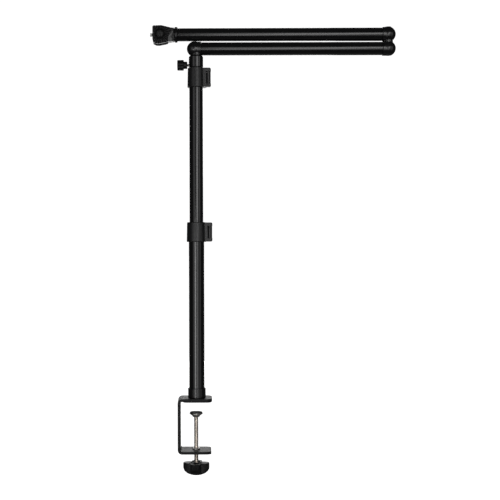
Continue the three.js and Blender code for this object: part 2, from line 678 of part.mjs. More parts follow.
add('roll_bolt', 'steel', rollBolt());

const CHEEK_OUT = CHEEK_IN + CHEEK_T;
const PLATE_HALF = 15;        // half height of the platform plate
const PAD_BELOW = 9.6;        // the rubber pad stops this far below the stud
const PLATE_Y = 12.5;         // half width of the plate
const PLATE_LEFT = HEAD_LEFT + 1.1;
const PLATE_RIGHT = PLATE_LEFT + 2.2;

// Side outline of one cheek: a square body that narrows towards the arm.
function cheekOutline() {
  const z = UPPER_ARM_Z;
  return outline([
    [PLATE_RIGHT - 0.5, z + 15.1], [TILT_X + 2.3, z + 15.6], [TILT_X + 6.5, z + 14.6],
    [TILT_X + 18.7, z + 11.6], [TILT_X + 19.9, z + 10.6], [TILT_X + 19.9, z + 6],
    [TILT_X + 16.5, z - 1], [TILT_X + 15.2, z - 5], [TILT_X + 15, z - 13.6],
    [TILT_X + 10.2, z - 15.8], [TILT_X + 3.2, z - 16.9], [TILT_X, z - 17.8],
    [TILT_X - 7.4, z - 17.6], [TILT_X - 8.2, z - 16.7], [PLATE_RIGHT - 0.5, z - 15.9],
  ]);
}

// V-shaped grooves fan out from the tilt bolt over both cheeks.
const FAN_GROOVES = 9;
const FAN_STEP = 14;          // degrees between two grooves
const FAN_START = 30;         // degrees of the first one from straight up

function fanGrooves() {
  const profile = outline([[0, -1.3], [1.3, 0.5], [-1.3, 0.5]]);
  const grooves = [];
  for (let i = 0; i < FAN_GROOVES; i += 1) {
    const rear = raised(profile, 6.2, 32).rotate([0, FAN_START + i * FAN_STEP, 0]);
    grooves.push(at(rear, TILT_X, CHEEK_OUT, UPPER_ARM_Z));
    grooves.push(at(rear.mirror([0, 1, 0]), TILT_X, -CHEEK_OUT, UPPER_ARM_Z));
  }
  return grooves;
}

// Two shallow ramps across the lower end of each cheek, turned towards the arm.
const RAMP_W = 1.9;
const RAMP_DEPTH = 0.45;

function cheekRamps() {
  const ramps = [];
  for (const left of [TILT_X + 1.2, TILT_X - 10.4]) {
    const wedge = outline([
      [left, CHEEK_OUT + 1], [left, CHEEK_OUT], [left + RAMP_W, CHEEK_OUT - RAMP_DEPTH],
      [left + RAMP_W, CHEEK_OUT + 1],
    ]);
    const rear = raised(wedge, UPPER_ARM_Z - 20, UPPER_ARM_Z - 9.5);
    ramps.push(rear, rear.mirror([0, 1, 0]));
  }
  return ramps;
}

function tiltBracket() {
  const z = UPPER_ARM_Z;
  const plate = block(PLATE_LEFT, PLATE_RIGHT, -PLATE_Y, PLATE_Y, z - PLATE_HALF, z + PLATE_HALF);
  const front = sidewall(cheekOutline(), -CHEEK_OUT, -CHEEK_IN);
  const rear = sidewall(cheekOutline(), CHEEK_IN, CHEEK_OUT);
  let body = plate.add(front).add(rear);
  for (const relief of [...fanGrooves(), ...cheekRamps()]) {
    body = body.subtract(relief);
  }
  const hole = at(alongY(rod(TILT_R + 0.2, -20, 20, FINE)), TILT_X, 0, z);
  const sink = at(alongY(rod(5.3, -20, -CHEEK_OUT + 1.6, FINE)), TILT_X, 0, z);
  const studHole = at(alongX(rod(STUD_D / 2 + 0.15, -90, -70, FINE)), 0, 0, z);
  return body.subtract(hole).subtract(sink).subtract(studHole);
}

add('tilt_bracket', 'head_plastic', tiltBracket());

function platformPad() {
  const z = UPPER_ARM_Z;
  const pad = block(HEAD_LEFT, PLATE_LEFT - 0.1, -PLATE_Y + 1, PLATE_Y - 1,
    z - PAD_BELOW, z + PLATE_HALF - 1);
  return pad.subtract(at(alongX(rod(STUD_D / 2 + 0.5, -90, -70, FINE)), 0, 0, z));
}

add('platform_pad', 'rubber', platformPad());

function cameraStud() {
  const tip = HEAD_LEFT - 4.6;
  const body = turned([
    [0, tip], [STUD_D / 2 - 0.7, tip], [STUD_D / 2, tip + 0.7], [STUD_D / 2, PLATE_RIGHT + 0.1],
    [4.6, PLATE_RIGHT + 0.1], [4.6, PLATE_RIGHT + 1.6], [0, PLATE_RIGHT + 1.6],
  ], FINE);
  return at(alongX(body), 0, 0, UPPER_ARM_Z);
}

add('camera_stud', 'steel', cameraStud());

for (const [name, side] of [['front', -1], ['rear', 1]]) {
  const inner = side > 0 ? TONGUE_Y + 0.1 : -TONGUE_Y - 0.1 - DISC_T;
  add(`tilt_disc_${name}`, 'nylon', at(
    alongY(pipe(7.8, TILT_R + 0.2, inner, inner + DISC_T, FINE)), TILT_X, 0, UPPER_ARM_Z,
  ));
}

function tiltBolt() {
  const head = -CHEEK_OUT + 1.5;
  const body = turned([
    [0, head - 3.4], [4.4, head - 3.4], [4.9, head - 2.8], [4.9, head],
    [TILT_R, head], [TILT_R, CHEEK_OUT + 14], [0, CHEEK_OUT + 14],
  ], FINE);
  const socket = raised(hexagon(4), head - 5, head - 1.4);
  return at(alongY(body.subtract(socket)), TILT_X, 0, UPPER_ARM_Z);
}

add('tilt_bolt', 'black_steel', tiltBolt());

add('tilt_washer', 'steel', at(
  alongY(pipe(5.6, TILT_R + 0.2, CHEEK_OUT + 0.1, CHEEK_OUT + 1.1, FINE)), TILT_X, 0, UPPER_ARM_Z,
));

function tiltKnob() {
  const y0 = CHEEK_OUT + 1.2;
  const head = raised(lobed(11, 8.6, 5, 0.3, FINE), y0 + 3, y0 + 12);
  const crown = turned([
    [0, y0], [6.4, y0], [8, y0 + 3], [11.2, y0 + 4.4], [11.2, y0 + 10.6], [9.6, y0 + 12],
    [0, y0 + 12],
  ], FINE);
  const hub = rod(6, y0, y0 + 5);
  const bore = rod(TILT_R + 0.1, y0 - 1, y0 + 20, FINE);
  return at(alongY(head.intersect(crown).add(hub).subtract(bore)), TILT_X, 0, UPPER_ARM_Z);
}

add('tilt_knob', 'grip_plastic', tiltKnob());

// --------------------------------------------------------------- clamp spindle
const SCREW_R = SCREW_D / 2;
const CUP_R = 12;
const KNOB_TURN = -0.1;       // radians the knob's lobes stand turned from +X

function jawBush() {
  return turned([
    [SCREW_R + 0.15, LOWER_JAW_BOTTOM - 1.6], [6, LOWER_JAW_BOTTOM - 1.6],
    [6, LOWER_JAW_TOP + 0.1], [6.8, LOWER_JAW_TOP + 0.1], [6.8, LOWER_JAW_TOP + 2],
    [6, LOWER_JAW_TOP + 2.6], [SCREW_R + 0.15, LOWER_JAW_TOP + 2.6],
    [SCREW_R + 0.15, LOWER_JAW_BOTTOM - 1.6],
  ], FINE);
}

add('jaw_bush', 'steel', at(jawBush(), SCREW_X, 0, 0));

function pressureRubber() {
  return turned([
    [0, -BOARD_T - 1.6], [CUP_R - 0.6, -BOARD_T - 1.6], [CUP_R - 0.6, -BOARD_T], [0, -BOARD_T],
  ], FINE);
}

add('pressure_rubber', 'rubber', at(pressureRubber(), SCREW_X, 0, 0));

function pressureCup() {
  const top = -BOARD_T - 1.7;
  const roof = top - 2.2;
  const bottom = top - 7;
  return turned([
    [0, roof], [4.9, roof], [4.9, bottom], [6.4, bottom], [7.2, bottom + 2],
    [CUP_R, top - 1.6], [CUP_R, top], [0, top],
  ], FINE);
}

add('pressure_cup', 'steel', at(pressureCup(), SCREW_X, 0, 0));

function clampScrew() {
  const tip = -BOARD_T - 1.7 - 2.2 - 0.3;
  const body = turned([
    [0, KNOB_TOP - 14], [SCREW_R - 0.1, KNOB_TOP - 14], [SCREW_R - 0.1, KNOB_TOP + 6],
    [SCREW_R, KNOB_TOP + 6.6], [SCREW_R, tip - 1.2], [SCREW_R - 1.2, tip], [0, tip],
  ], FINE);
  return body.subtract(alongX(rod(1.35, -10, 10, SMALL)).translate([0, 0, KNOB_TOP - 4]));
}

add('clamp_screw', 'bright_steel', at(clampScrew(), SCREW_X, 0, 0));

// Four lobes, full at the top and rounding in to a small flat underneath.
function clampKnob() {
  const top = KNOB_TOP;
  const bottom = KNOB_TOP - KNOB_H;
  const hubTop = top + 1.6;
  const star = raised(lobed(KNOB_R, 13, 4, KNOB_TURN, SMALL * 3), bottom - 1, top + 1);
  const bell = turned([
    [0, bottom], [11, bottom], [17.2, bottom + 2.6], [21.8, bottom + 6.4], [23.6, bottom + 10.5],
    [KNOB_R + 0.2, bottom + 12.5], [KNOB_R + 0.2, top - 1.6], [KNOB_R - 1.4, top], [0, top],
  ], RING);
  const hub = turned([
    [0, bottom], [10.6, bottom], [11.4, bottom + 2], [10.6, hubTop - 0.8], [9.8, hubTop], [0, hubTop],
  ], FINE);
  const recess = rod(7.4, top - 1, top + 4);
  const bore = rod(SCREW_R + 0.1, top - 14.4, top + 4);
  const pinHole = alongX(rod(1.35, -11, 11, SMALL)).translate([0, 0, KNOB_TOP - 4]);
  return star.intersect(bell).add(hub).subtract(recess).subtract(bore).subtract(pinHole);
}

add('clamp_knob', 'grip_plastic', at(clampKnob(), SCREW_X, 0, 0));
add('knob_pin', 'steel', at(alongX(rod(1.2, -10.4, 10.4, SMALL)), SCREW_X, 0, KNOB_TOP - 4));

export default stand;
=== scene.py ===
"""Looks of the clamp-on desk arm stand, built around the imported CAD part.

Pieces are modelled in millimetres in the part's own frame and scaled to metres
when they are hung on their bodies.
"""

import json
import math

import bmesh
import bpy
from mathutils import Matrix, Vector


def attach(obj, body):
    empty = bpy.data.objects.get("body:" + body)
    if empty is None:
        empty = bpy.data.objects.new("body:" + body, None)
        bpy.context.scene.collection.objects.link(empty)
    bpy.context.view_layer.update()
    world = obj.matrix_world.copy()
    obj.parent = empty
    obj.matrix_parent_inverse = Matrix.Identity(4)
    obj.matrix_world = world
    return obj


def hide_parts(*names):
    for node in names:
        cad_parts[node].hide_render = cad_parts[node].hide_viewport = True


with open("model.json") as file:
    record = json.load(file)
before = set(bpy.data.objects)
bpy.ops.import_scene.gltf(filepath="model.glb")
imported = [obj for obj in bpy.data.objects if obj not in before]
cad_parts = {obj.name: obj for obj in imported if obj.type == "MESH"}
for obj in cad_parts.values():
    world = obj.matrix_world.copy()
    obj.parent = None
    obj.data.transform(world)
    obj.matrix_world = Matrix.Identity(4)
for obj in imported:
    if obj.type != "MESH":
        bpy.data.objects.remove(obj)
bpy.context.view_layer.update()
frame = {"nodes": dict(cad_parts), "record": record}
NODES = frame["nodes"]
MM = 0.001

# ------------------------------------------------------------------ dimensions
STRIP_T, STRIP_W = 5.0, 50.0
STRIP_TOP = 6.5
CLAMP_LEFT, JAW_REACH, LOWER_REACH = -34.7, 27.4, 25.8
JAW_TOP, JAW_BOTTOM = -88.0, -93.0
BEND_R = 8.0
KNOB_TOP, KNOB_H, KNOB_R = -112.0, 21.0, 23.9
SCREW_R, SCREW_X, KNOB_TURN = 4.0, -1.5, -0.1

LOWER_R, MIDDLE_R, INNER_R = 14.0, 12.4, 10.8
WALL = 1.2
SOCKET_R, SOCKET_TOP, SOCKET_FLOOR = 16.1, 24.0, 9.9
LOWER_LOCK_Z, UPPER_LOCK_Z, LOCK_H, LOCK_DRAFT = 289.0, 569.5, 36.0, 0.35
LOCK_SEAT = 18.0               # how far up a lock the tube it is fixed to reaches
MIDDLE_TUBE_Z, INNER_TUBE_Z = 241.0, 262.0
SLEEVE_R, SLEEVE_Z, SLEEVE_TOP, SLEEVE_BORE = 13.1, 606.8, 628.0, 9.8
PAN_Z, PAN_KNOB_LEFT = 610.6, -34.0

ARM_R, ARM_BORE, SPIGOT_R = 11.9, 10.5, 10.35
LOWER_ARM_Z, UPPER_ARM_Z = 640.2, 666.0
MID_Z = (LOWER_ARM_Z + UPPER_ARM_Z) / 2
PIVOT_X, BALL_R, BARREL_R = 349.6, 13.9, 13.1
ELBOW_X, ELBOW_SEAM, KNUCKLE_SEAM = -2.6, 9.4, 338.7
BALL_CUT, NECK_R, WASHER_R, ELBOW_NECK_R, FACE_GAP = 13.0, 8.8, 7.2, 10.9, 0.3
BALL_NOSE_SWEEP, BALL_NOSE_STEPS = 103, 24     # degrees of the round end, and its steps
SPIGOT_L, ARM_GAP, ARM_EDGE = 18, 0.3, 0.35
PIVOT_HOLE_R, RECESS_R, RECESS_DEPTH = 3.2, 6.6, 7.2
FLANGE_X, FLANGE_FACE, FLANGE_R = -33.0, -38.4, 14.2
NECK_FACE = FLANGE_FACE - 0.5

TILT_X, HEAD_LEFT = -65.2, -78.7
CHEEK_IN, CHEEK_T = 6.9, 4.0
CHEEK_OUT = CHEEK_IN + CHEEK_T
PLATE_LEFT = HEAD_LEFT + 1.1
PLATE_RIGHT = PLATE_LEFT + 2.2
PLATE_HALF, PLATE_Y = 15.0, 12.5
STUD_R = 3.175
BOLT_HOLE_R = 2.7              # for the tilt and roll bolts
TONGUE_HALF, TONGUE_WAIST = 5.9, 5.1

ROUND = 96                     # facets of the large turned pieces
SMALL = 48                     # facets of bolts and bushes


# --------------------------------------------------------------- mesh building
def rounded(points, closed=False, steps=5):
    """Corner points (a, b) or (a, b, radius); each radius becomes an arc."""
    result = []
    count = len(points)
    for i, point in enumerate(points):
        radius = point[2] if len(point) > 2 else 0
        if not radius or (not closed and i in (0, count - 1)):
            result.append((point[0], point[1]))
            continue
        corner = Vector(point[:2])
        back = (Vector(points[i - 1][:2]) - corner).normalized()
        ahead = (Vector(points[(i + 1) % count][:2]) - corner).normalized()
        half = back.angle(ahead) / 2
        centre = corner + (back + ahead).normalized() * (radius / math.sin(half))
        first = corner + back * (radius / math.tan(half)) - centre
        last = corner + ahead * (radius / math.tan(half)) - centre
        turn = first.angle_signed(last)
        for k in range(steps + 1):
            spoke = first.copy()
            spoke.rotate(Matrix.Rotation(-turn * k / steps, 2))
            result.append(tuple(centre + spoke))
    return result


def turn_to(axis):
    """Matrix that lays a body made about +Z along another axis."""
    if axis == "X":
        return Matrix.Rotation(math.radians(90), 4, "Y")
    if axis == "Y":
        return Matrix.Rotation(math.radians(-90), 4, "X")
    return Matrix.Identity(4)


def make(name, bm, axis="Z", at=(0, 0, 0)):
    """Object of a finished bmesh, laid along an axis and moved to its place."""
    bmesh.ops.remove_doubles(bm, verts=bm.verts, dist=1e-4)
    bmesh.ops.transform(bm, matrix=Matrix.Translation(at) @ turn_to(axis), verts=bm.verts)
    bmesh.ops.recalc_face_normals(bm, faces=bm.faces)
    mesh = bpy.data.meshes.new(name)
    bm.to_mesh(mesh)
    bm.free()
    obj = bpy.data.objects.new(name, mesh)
    bpy.context.scene.collection.objects.link(obj)
    return obj


def skin(bm, rings, closed):
    """Joins neighbouring rings of vertices; a ring of one vertex is a pole."""
    pairs = list(zip(rings, rings[1:]))
    if closed:
        pairs.append((rings[-1], rings[0]))
    for low, high in pairs:
        count = max(len(low), len(high))
        for i in range(count):
            j = (i + 1) % count
            corners = [
                low[i % len(low)], low[j % len(low)], high[j % len(high)], high[i % len(high)],
            ]
            unique = list(dict.fromkeys(corners))
            if len(unique) > 2:
                bm.faces.new(unique)


def lathe(name, profile, facets=ROUND, axis="Z", at=(0, 0, 0), closed=False, limit=None, steps=5):
    """Body of revolution. limit(angle) caps the radius, for knobs with lobes."""
    bm = bmesh.new()
    rings = []
    for radius, height in rounded(profile, closed, steps):
        if radius < 1e-6:
            rings.append([bm.verts.new((0, 0, height))])
            continue
        ring = []
        for i in range(facets):
            angle = 2 * math.pi * i / facets
            r = soft_min(radius, limit(angle)) if limit else radius
            ring.append(bm.verts.new((r * math.cos(angle), r * math.sin(angle), height)))
        rings.append(ring)
    skin(bm, rings, closed)
    return make(name, bm, axis, at)


def soft_min(a, b, blend=1.1):
    """The smaller of two radii, with the corner between them rounded off."""
    gap = max(blend - abs(a - b), 0) / blend
    return min(a, b) - gap * gap * blend / 4


def pipe(name, outer, inner, lo, hi, axis="Z", at=(0, 0, 0), edge=0.3, facets=ROUND):
    profile = [(inner, lo, edge), (outer, lo, edge), (outer, hi, edge), (inner, hi, edge)]
    return lathe(name, profile, facets, axis, at, closed=True, steps=3)


def rod(name, radius, lo, hi, axis="Z", at=(0, 0, 0), edge=0.0, facets=SMALL):
    profile = [(0, lo), (radius, lo, edge), (radius, hi, edge), (0, hi)]
    return lathe(name, profile, facets, axis, at, steps=3)


def slab(name, outline, lo, hi, axis="Z"):
    """Outline extruded along an axis: (x, y) along Z, (x, z) along Y, (y, z) along X."""
    place = {
        "Z": lambda a, b, d: (a, b, d),
        "Y": lambda a, b, d: (a, d, b),
        "X": lambda a, b, d: (d, a, b),
    }[axis]
    bm = bmesh.new()
    near = [bm.verts.new(place(a, b, lo)) for a, b in outline]
    far = [bm.verts.new(place(a, b, hi)) for a, b in outline]
    bm.faces.new(near)
    bm.faces.new(far)
    skin(bm, [near, far], False)
    return make(name, bm)


def block(name, x0, x1, y0, y1, z0, z1):
    return slab(name, [(x0, y0), (x1, y0), (x1, y1), (x0, y1)], z0, z1)


def rounded_rect(a0, a1, b0, b1, radius, steps=6):
    corners = [(a0, b0, radius), (a1, b0, radius), (a1, b1, radius), (a0, b1, radius)]
    return rounded(corners, True, steps)


def hexagon(across):
    radius = across / math.sqrt(3)
    angles = [math.pi * i / 3 for i in range(6)]
    return [(radius * math.cos(a), radius * math.sin(a)) for a in angles]


def moved(obj, axis="Z", at=(0, 0, 0)):
    obj.data.transform(Matrix.Translation(at) @ turn_to(axis))
    return obj


def apply_modifiers(obj):
    bpy.context.view_layer.update()
    evaluated = obj.evaluated_get(bpy.context.evaluated_depsgraph_get())
    mesh = bpy.data.meshes.new_from_object(evaluated)
    obj.modifiers.clear()
    old = obj.data
    obj.data = mesh
    bpy.data.meshes.remove(old)
    return obj


def combine(obj, tools, operation):
    """Boolean of a body with each tool in turn; the tools are used up."""
    for tool in tools:
        step = obj.modifiers.new("step", "BOOLEAN")
        step.operation = operation
        step.solver = "EXACT"
        step.object = tool
    apply_modifiers(obj)
    for tool in tools:
        bpy.data.objects.remove(tool)
    return obj


def cut(obj, *tools):
    return combine(obj, tools, "DIFFERENCE")


def join(obj, *tools):
    return combine(obj, tools, "UNION")


def keep(obj, tool):
    return combine(obj, [tool], "INTERSECT")


def soften(obj, width, segments=2, angle=32):
    step = obj.modifiers.new("bevel", "BEVEL")
    step.width = width
    step.segments = segments
    step.limit_method = "ANGLE"
    step.angle_limit = math.radians(angle)
    step.use_clamp_overlap = True
    return apply_modifiers(obj)


def thread(name, radius, depth, pitch, lo, hi, axis="Z", at=(0, 0, 0), columns=28, rows_per_turn=6):
    """Rod with a rounded helical thread and chamfered ends."""
    bm = bmesh.new()
    rows = round((hi - lo) / pitch * rows_per_turn)
    rings = [[bm.verts.new((0, 0, lo))]]
    for k in range(rows + 1):
        height = lo + (hi - lo) * k / rows
        ends = min(1.0, min(height - lo, hi - height) / (1.2 * pitch))
        ring = []
        for i in range(columns):
            phase = height / pitch - i / columns
            groove = depth * (0.5 - 0.5 * math.cos(2 * math.pi * phase))
            r = radius - depth * (1 - ends) - groove * ends
            angle = 2 * math.pi * i / columns
            ring.append(bm.verts.new((r * math.cos(angle), r * math.sin(angle), height)))
        rings.append(ring)
    rings.append([bm.verts.new((0, 0, hi))])
    skin(bm, rings, False)
    return make(name, bm, axis, at)


# ------------------------------------------------------------------- materials
def surface(name, colour, roughness, metallic=0.0, specular=0.5, mottle=(60, 0.15),
            grain=(900, 0.00002), stretch=(1, 1, 1), spread=0.06, cells=None, edge_sheen=None):
    """Procedural finish: mottled colour, uneven gloss and a fine relief.

    mottle: (noise scale, share of colour change); grain: (noise scale, height in metres);
    stretch: scale of the relief along each axis; spread: how far the roughness wanders;
    cells: (scale, height) of a pebbled relief; edge_sheen: (colour, radius in metres) of a painted
    highlight, a lighter colour on the edges.
    """
    material = bpy.data.materials.new(name)
    material.use_nodes = True
    nodes, links = material.node_tree.nodes, material.node_tree.links
    shader = nodes["Principled BSDF"]
    shader.inputs["Metallic"].default_value = metallic
    shader.inputs["Specular IOR Level"].default_value = specular
    coords = nodes.new("ShaderNodeTexCoord")
    mapping = nodes.new("ShaderNodeMapping")
    mapping.inputs["Scale"].default_value = stretch
    links.new(coords.outputs["Object"], mapping.inputs["Vector"])

    def noise(scale, detail, vector=None):
        node = nodes.new("ShaderNodeTexNoise")
        node.inputs["Scale"].default_value = scale
        node.inputs["Detail"].default_value = detail
        links.new(vector or mapping.outputs["Vector"], node.inputs["Vector"])
        return node.outputs["Fac"]

    def ramp(value, low, high):
        node = nodes.new("ShaderNodeMapRange")
        node.inputs["From Min"].default_value = 0.3
        node.inputs["From Max"].default_value = 0.7
        node.inputs["To Min"].default_value = low
        node.inputs["To Max"].default_value = high
        links.new(value, node.inputs["Value"])
        return node.outputs["Result"]

    def mix(factor, low, high):
        node = nodes.new("ShaderNodeMix")
        node.data_type = "RGBA"
        links.new(factor, node.inputs["Factor"])
        for socket, colour_in in ((node.inputs["A"], low), (node.inputs["B"], high)):
            if isinstance(colour_in, bpy.types.NodeSocket):
                links.new(colour_in, socket)
            else:
                socket.default_value = (*colour_in, 1)
        return node.outputs["Result"]

    share = mottle[1]
    low = tuple(c * (1 - share) for c in colour)
    high = tuple(c * (1 + share) for c in colour)
    tint = mix(ramp(noise(mottle[0], 4, coords.outputs["Object"]), 0, 1), low, high)
    gloss = ramp(noise(mottle[0] * 3.1, 5), roughness - spread, roughness + spread)
    # Painted highlight: the edges are lightened towards a set colour, standing for light caught on
    # them.
    if edge_sheen:
        bevel = nodes.new("ShaderNodeBevel")
        bevel.samples = 4
        bevel.inputs["Radius"].default_value = edge_sheen[1]
        geometry = nodes.new("ShaderNodeNewGeometry")
        product = nodes.new("ShaderNodeVectorMath")
        product.operation = "DOT_PRODUCT"
        links.new(bevel.outputs["Normal"], product.inputs[0])
        links.new(geometry.outputs["Normal"], product.inputs[1])
        edge = nodes.new("ShaderNodeMapRange")
        edge.inputs["From Min"].default_value = 0.995
        edge.inputs["From Max"].default_value = 0.9
        links.new(product.outputs["Value"], edge.inputs["Value"])
        tint = mix(edge.outputs["Result"], tint, edge_sheen[0])
    links.new(tint, shader.inputs["Base Color"])
    links.new(gloss, shader.inputs["Roughness"])

    bump = nodes.new("ShaderNodeBump")
    bump.inputs["Distance"].default_value = grain[1]
    bump.inputs["Strength"].default_value = 1.0
    links.new(noise(grain[0], 3), bump.inputs["Height"])
    relief = bump
    if cells:
        pebbles = nodes.new("ShaderNodeTexVoronoi")
        pebbles.inputs["Scale"].default_value = cells[0]
        links.new(coords.outputs["Object"], pebbles.inputs["Vector"])
        relief = nodes.new("ShaderNodeBump")
        relief.inputs["Distance"].default_value = cells[1]
        relief.inputs["Strength"].default_value = 1.0
        links.new(pebbles.outputs["Distance"], relief.inputs["Height"])
        links.new(bump.outputs["Normal"], relief.inputs["Normal"])
    links.new(relief.outputs["Normal"], shader.inputs["Normal"])
    return material


BLACK = (0.0045, 0.0046, 0.005)
DRAWN = (2500, 0.000002)       # fine lines left by drawing the tubes
# The lighter edge colours given to the clamp paint and the plastics below are painted highlights on
# their edges.
FINISH = {
    "tube_black": surface("tube_black", BLACK, 0.13, mottle=(40, 0.2), grain=DRAWN,
                          stretch=(1, 1, 0.02), spread=0.03),
    "tube_black_x": surface("tube_black_x", BLACK, 0.17, mottle=(40, 0.2), grain=DRAWN,
                            stretch=(0.02, 1, 1), spread=0.03),
    "cast_black": surface("cast_black", (0.005, 0.005, 0.0054), 0.24, mottle=(120, 0.2),
                          grain=(1400, 0.000006), spread=0.04),
    "clamp_paint": surface("clamp_paint", (0.009, 0.0092, 0.0098), 0.46, specular=0.17,
                           mottle=(90, 0.15), grain=(1800, 0.00003), cells=(1500, 0.00002),
                           edge_sheen=((0.02, 0.02, 0.021), 0.0005)),
    "lock_plastic": surface("lock_plastic", (0.009, 0.009, 0.0095), 0.36, specular=0.4,
                            mottle=(150, 0.15), grain=(3000, 0.00001), cells=(2600, 0.000012),
                            edge_sheen=((0.016, 0.016, 0.0165), 0.0003)),
    "head_plastic": surface("head_plastic", (0.005, 0.005, 0.0054), 0.36, specular=0.3,
                            mottle=(200, 0.2), grain=(2400, 0.00002), cells=(2200, 0.00001),
                            edge_sheen=((0.016, 0.016, 0.0165), 0.0003)),
    # Lighter copy of head_plastic with a higher specular level: its lighter colour is painted light
    # on the neck's facets.
    "head_plastic_painted_light": surface("head_plastic_painted_light", (0.008, 0.008, 0.0084), 0.3, specular=0.7,
                            mottle=(200, 0.2), grain=(2400, 0.00002), cells=(2200, 0.00001),
                            edge_sheen=((0.016, 0.016, 0.0165), 0.0003)),
    "grip_plastic": surface("grip_plastic", (0.004, 0.004, 0.0043), 0.45, specular=0.22,
                            mottle=(200, 0.2), grain=(1500, 0.00003), cells=(1300, 0.00005)),
    "rubber": surface("rubber", (0.008, 0.008, 0.008), 0.75, specular=0.2, mottle=(300, 0.2),
                      grain=(2500, 0.00004)),
    "steel": surface("steel", (0.42, 0.41, 0.39), 0.32, metallic=1.0, mottle=(250, 0.12),
                     grain=(2200, 0.000008), spread=0.1),
    "bright_steel": surface("bright_steel", (0.76, 0.71, 0.655), 0.27, metallic=1.0,
                            mottle=(300, 0.15), grain=(2600, 0.000006), spread=0.1),
    "black_steel": surface("black_steel", (0.006, 0.006, 0.0063), 0.3, specular=0.4,
                           mottle=(400, 0.2), grain=(2600, 0.000008), spread=0.08),
    "plated": surface("plated", (0.72, 0.72, 0.7), 0.35, metallic=0.25, mottle=(400, 0.1),
                      grain=(2600, 0.000006), spread=0.08),
    "nylon": surface("nylon", (0.55, 0.54, 0.5), 0.5, mottle=(90, 0.08), grain=(1500, 0.00001)),
}


def piece(obj, body, slot, replaces=(), finish=None, sharp=38):
    """Scales a finished shape to metres, smooths it, gives it its finish, hangs it on its body and
    hides the CAD nodes it replaces.
    """
    obj.data.transform(Matrix.Scale(MM, 4))
    obj.data.polygons.foreach_set("use_smooth", [True] * len(obj.data.polygons))
    obj.data.set_sharp_from_angle(angle=math.radians(sharp))
    step = obj.modifiers.new("normals", "WEIGHTED_NORMAL")
    step.keep_sharp = True
    apply_modifiers(obj)
    obj.data.materials.clear()
    obj.data.materials.append(FINISH[finish or slot])
    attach(obj, body)
    if replaces:
        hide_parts(*replaces)
    return obj


# ----------------------------------------------------------------- clamp frame
def clamp_frame():
    back = CLAMP_LEFT + STRIP_T
    inner = BEND_R - STRIP_T
    path = [
        (JAW_REACH, STRIP_TOP), (CLAMP_LEFT, STRIP_TOP, BEND_R), (CLAMP_LEFT, JAW_BOTTOM, BEND_R),
        (LOWER_REACH, JAW_BOTTOM), (LOWER_REACH, JAW_TOP), (back, JAW_TOP, inner),
        (back, STRIP_TOP - STRIP_T, inner), (JAW_REACH, STRIP_TOP - STRIP_T),
    ]
    half = STRIP_W / 2
    strip = slab("clamp_strip", rounded(path, True, 10), -half, half, "Y")
    plan = rounded_rect(CLAMP_LEFT - 20, JAW_REACH, -half, half, 11, 12)
    keep(strip, slab("plan", plan, JAW_BOTTOM - 5, STRIP_TOP + 5))
    cut(strip, rod("hole", 6.2, JAW_BOTTOM - 5, JAW_TOP + 5, at=(SCREW_X, 0, 0)),
        rod("bolt", 9.0, -2, STRIP_TOP + 5))
    soften(strip, 0.8, 3)
    piece(strip, "base", "clamp_paint", ["clamp_frame"])


def jaw_pad():
    left = CLAMP_LEFT + BEND_R + 1
    pad = slab("jaw_pad", rounded_rect(left, JAW_REACH - 0.6, -24.2, 24.2, 9, 10), 0, 1.4)
    soften(pad, 0.45, 3)
    piece(pad, "base", "rubber", ["upper_jaw_pad"])


def jaw_bush():
    bore = SCREW_R + 0.15
    profile = [
        (bore, JAW_BOTTOM - 1.6, 0.3), (6, JAW_BOTTOM - 1.6, 0.4), (6, JAW_TOP + 0.1),
        (6.8, JAW_TOP + 0.1, 0.2), (6.8, JAW_TOP + 2.6, 0.8), (bore, JAW_TOP + 2.6, 0.4),
    ]
    bush = lathe("jaw_bush_turned", profile, SMALL, at=(SCREW_X, 0, 0), closed=True)
    piece(bush, "base", "steel", ["jaw_bush"])


clamp_frame()
jaw_pad()
jaw_bush()


# ---------------------------------------------------------------- mast tubes
def base_socket():
    bore = LOWER_R + 0.15
    profile = [
        (4.2, STRIP_TOP + 0.1), (SOCKET_R, STRIP_TOP + 0.1, 0.3), (SOCKET_R, SOCKET_TOP, 1.3),
        (bore, SOCKET_TOP, 0.3), (bore, SOCKET_FLOOR), (4.2, SOCKET_FLOOR),
    ]
    piece(lathe("mast_socket", profile, closed=True), "base", "cast_black", ["base_socket"])


def mast_tubes():
    lower = pipe("mast_tube_lower", LOWER_R, LOWER_R - WALL, SOCKET_FLOOR + 0.2,
                 LOWER_LOCK_Z + LOCK_SEAT)
    piece(lower, "base", "tube_black", ["lower_tube"])
    middle = pipe("mast_tube_middle", MIDDLE_R, MIDDLE_R - WALL, MIDDLE_TUBE_Z,
                  UPPER_LOCK_Z + LOCK_SEAT)
    piece(middle, "middle_mast", "tube_black", ["middle_tube"])
    inner = pipe("mast_tube_inner", INNER_R, INNER_R - WALL, INNER_TUBE_Z, SLEEVE_Z - 0.9)
    piece(inner, "inner_mast", "tube_black", ["inner_tube"])


base_socket()
mast_tubes()


# ----------------------------------------------------------------- lever locks
PIN_Y, PIN_R, BOLT_R = -4.9, 1.5, 1.5
EAR_Y, SPLIT, KNUCKLE_H, LUG_CORNER = 8.5, 0.9, 7.0, 2.8
PADDLE_T, LEVER_EDGE, LEVER_BARREL_R, CLEAR_Y = 2.7, 5.8, 3.3, 1.0
BOLT_HEAD_R, BOLT_HEAD_Y = 2.4, 6.4
PIN_BACK, EAR_BACK = 4.6, 8.05      # pin and ear ends, back from the lock's reach
BOLT_OUT = 2.3                      # bolt axis, out from the fixed tube


def arc_to(a, control, b, steps=10):
    """Points of a quadratic curve from a to b."""
    points = []
    for k in range(steps + 1):
        t = k / steps
        u = 1 - t
        points.append(tuple(u * u * a[i] + 2 * u * t * control[i] + t * t * b[i] for i in (0, 1)))
    return points


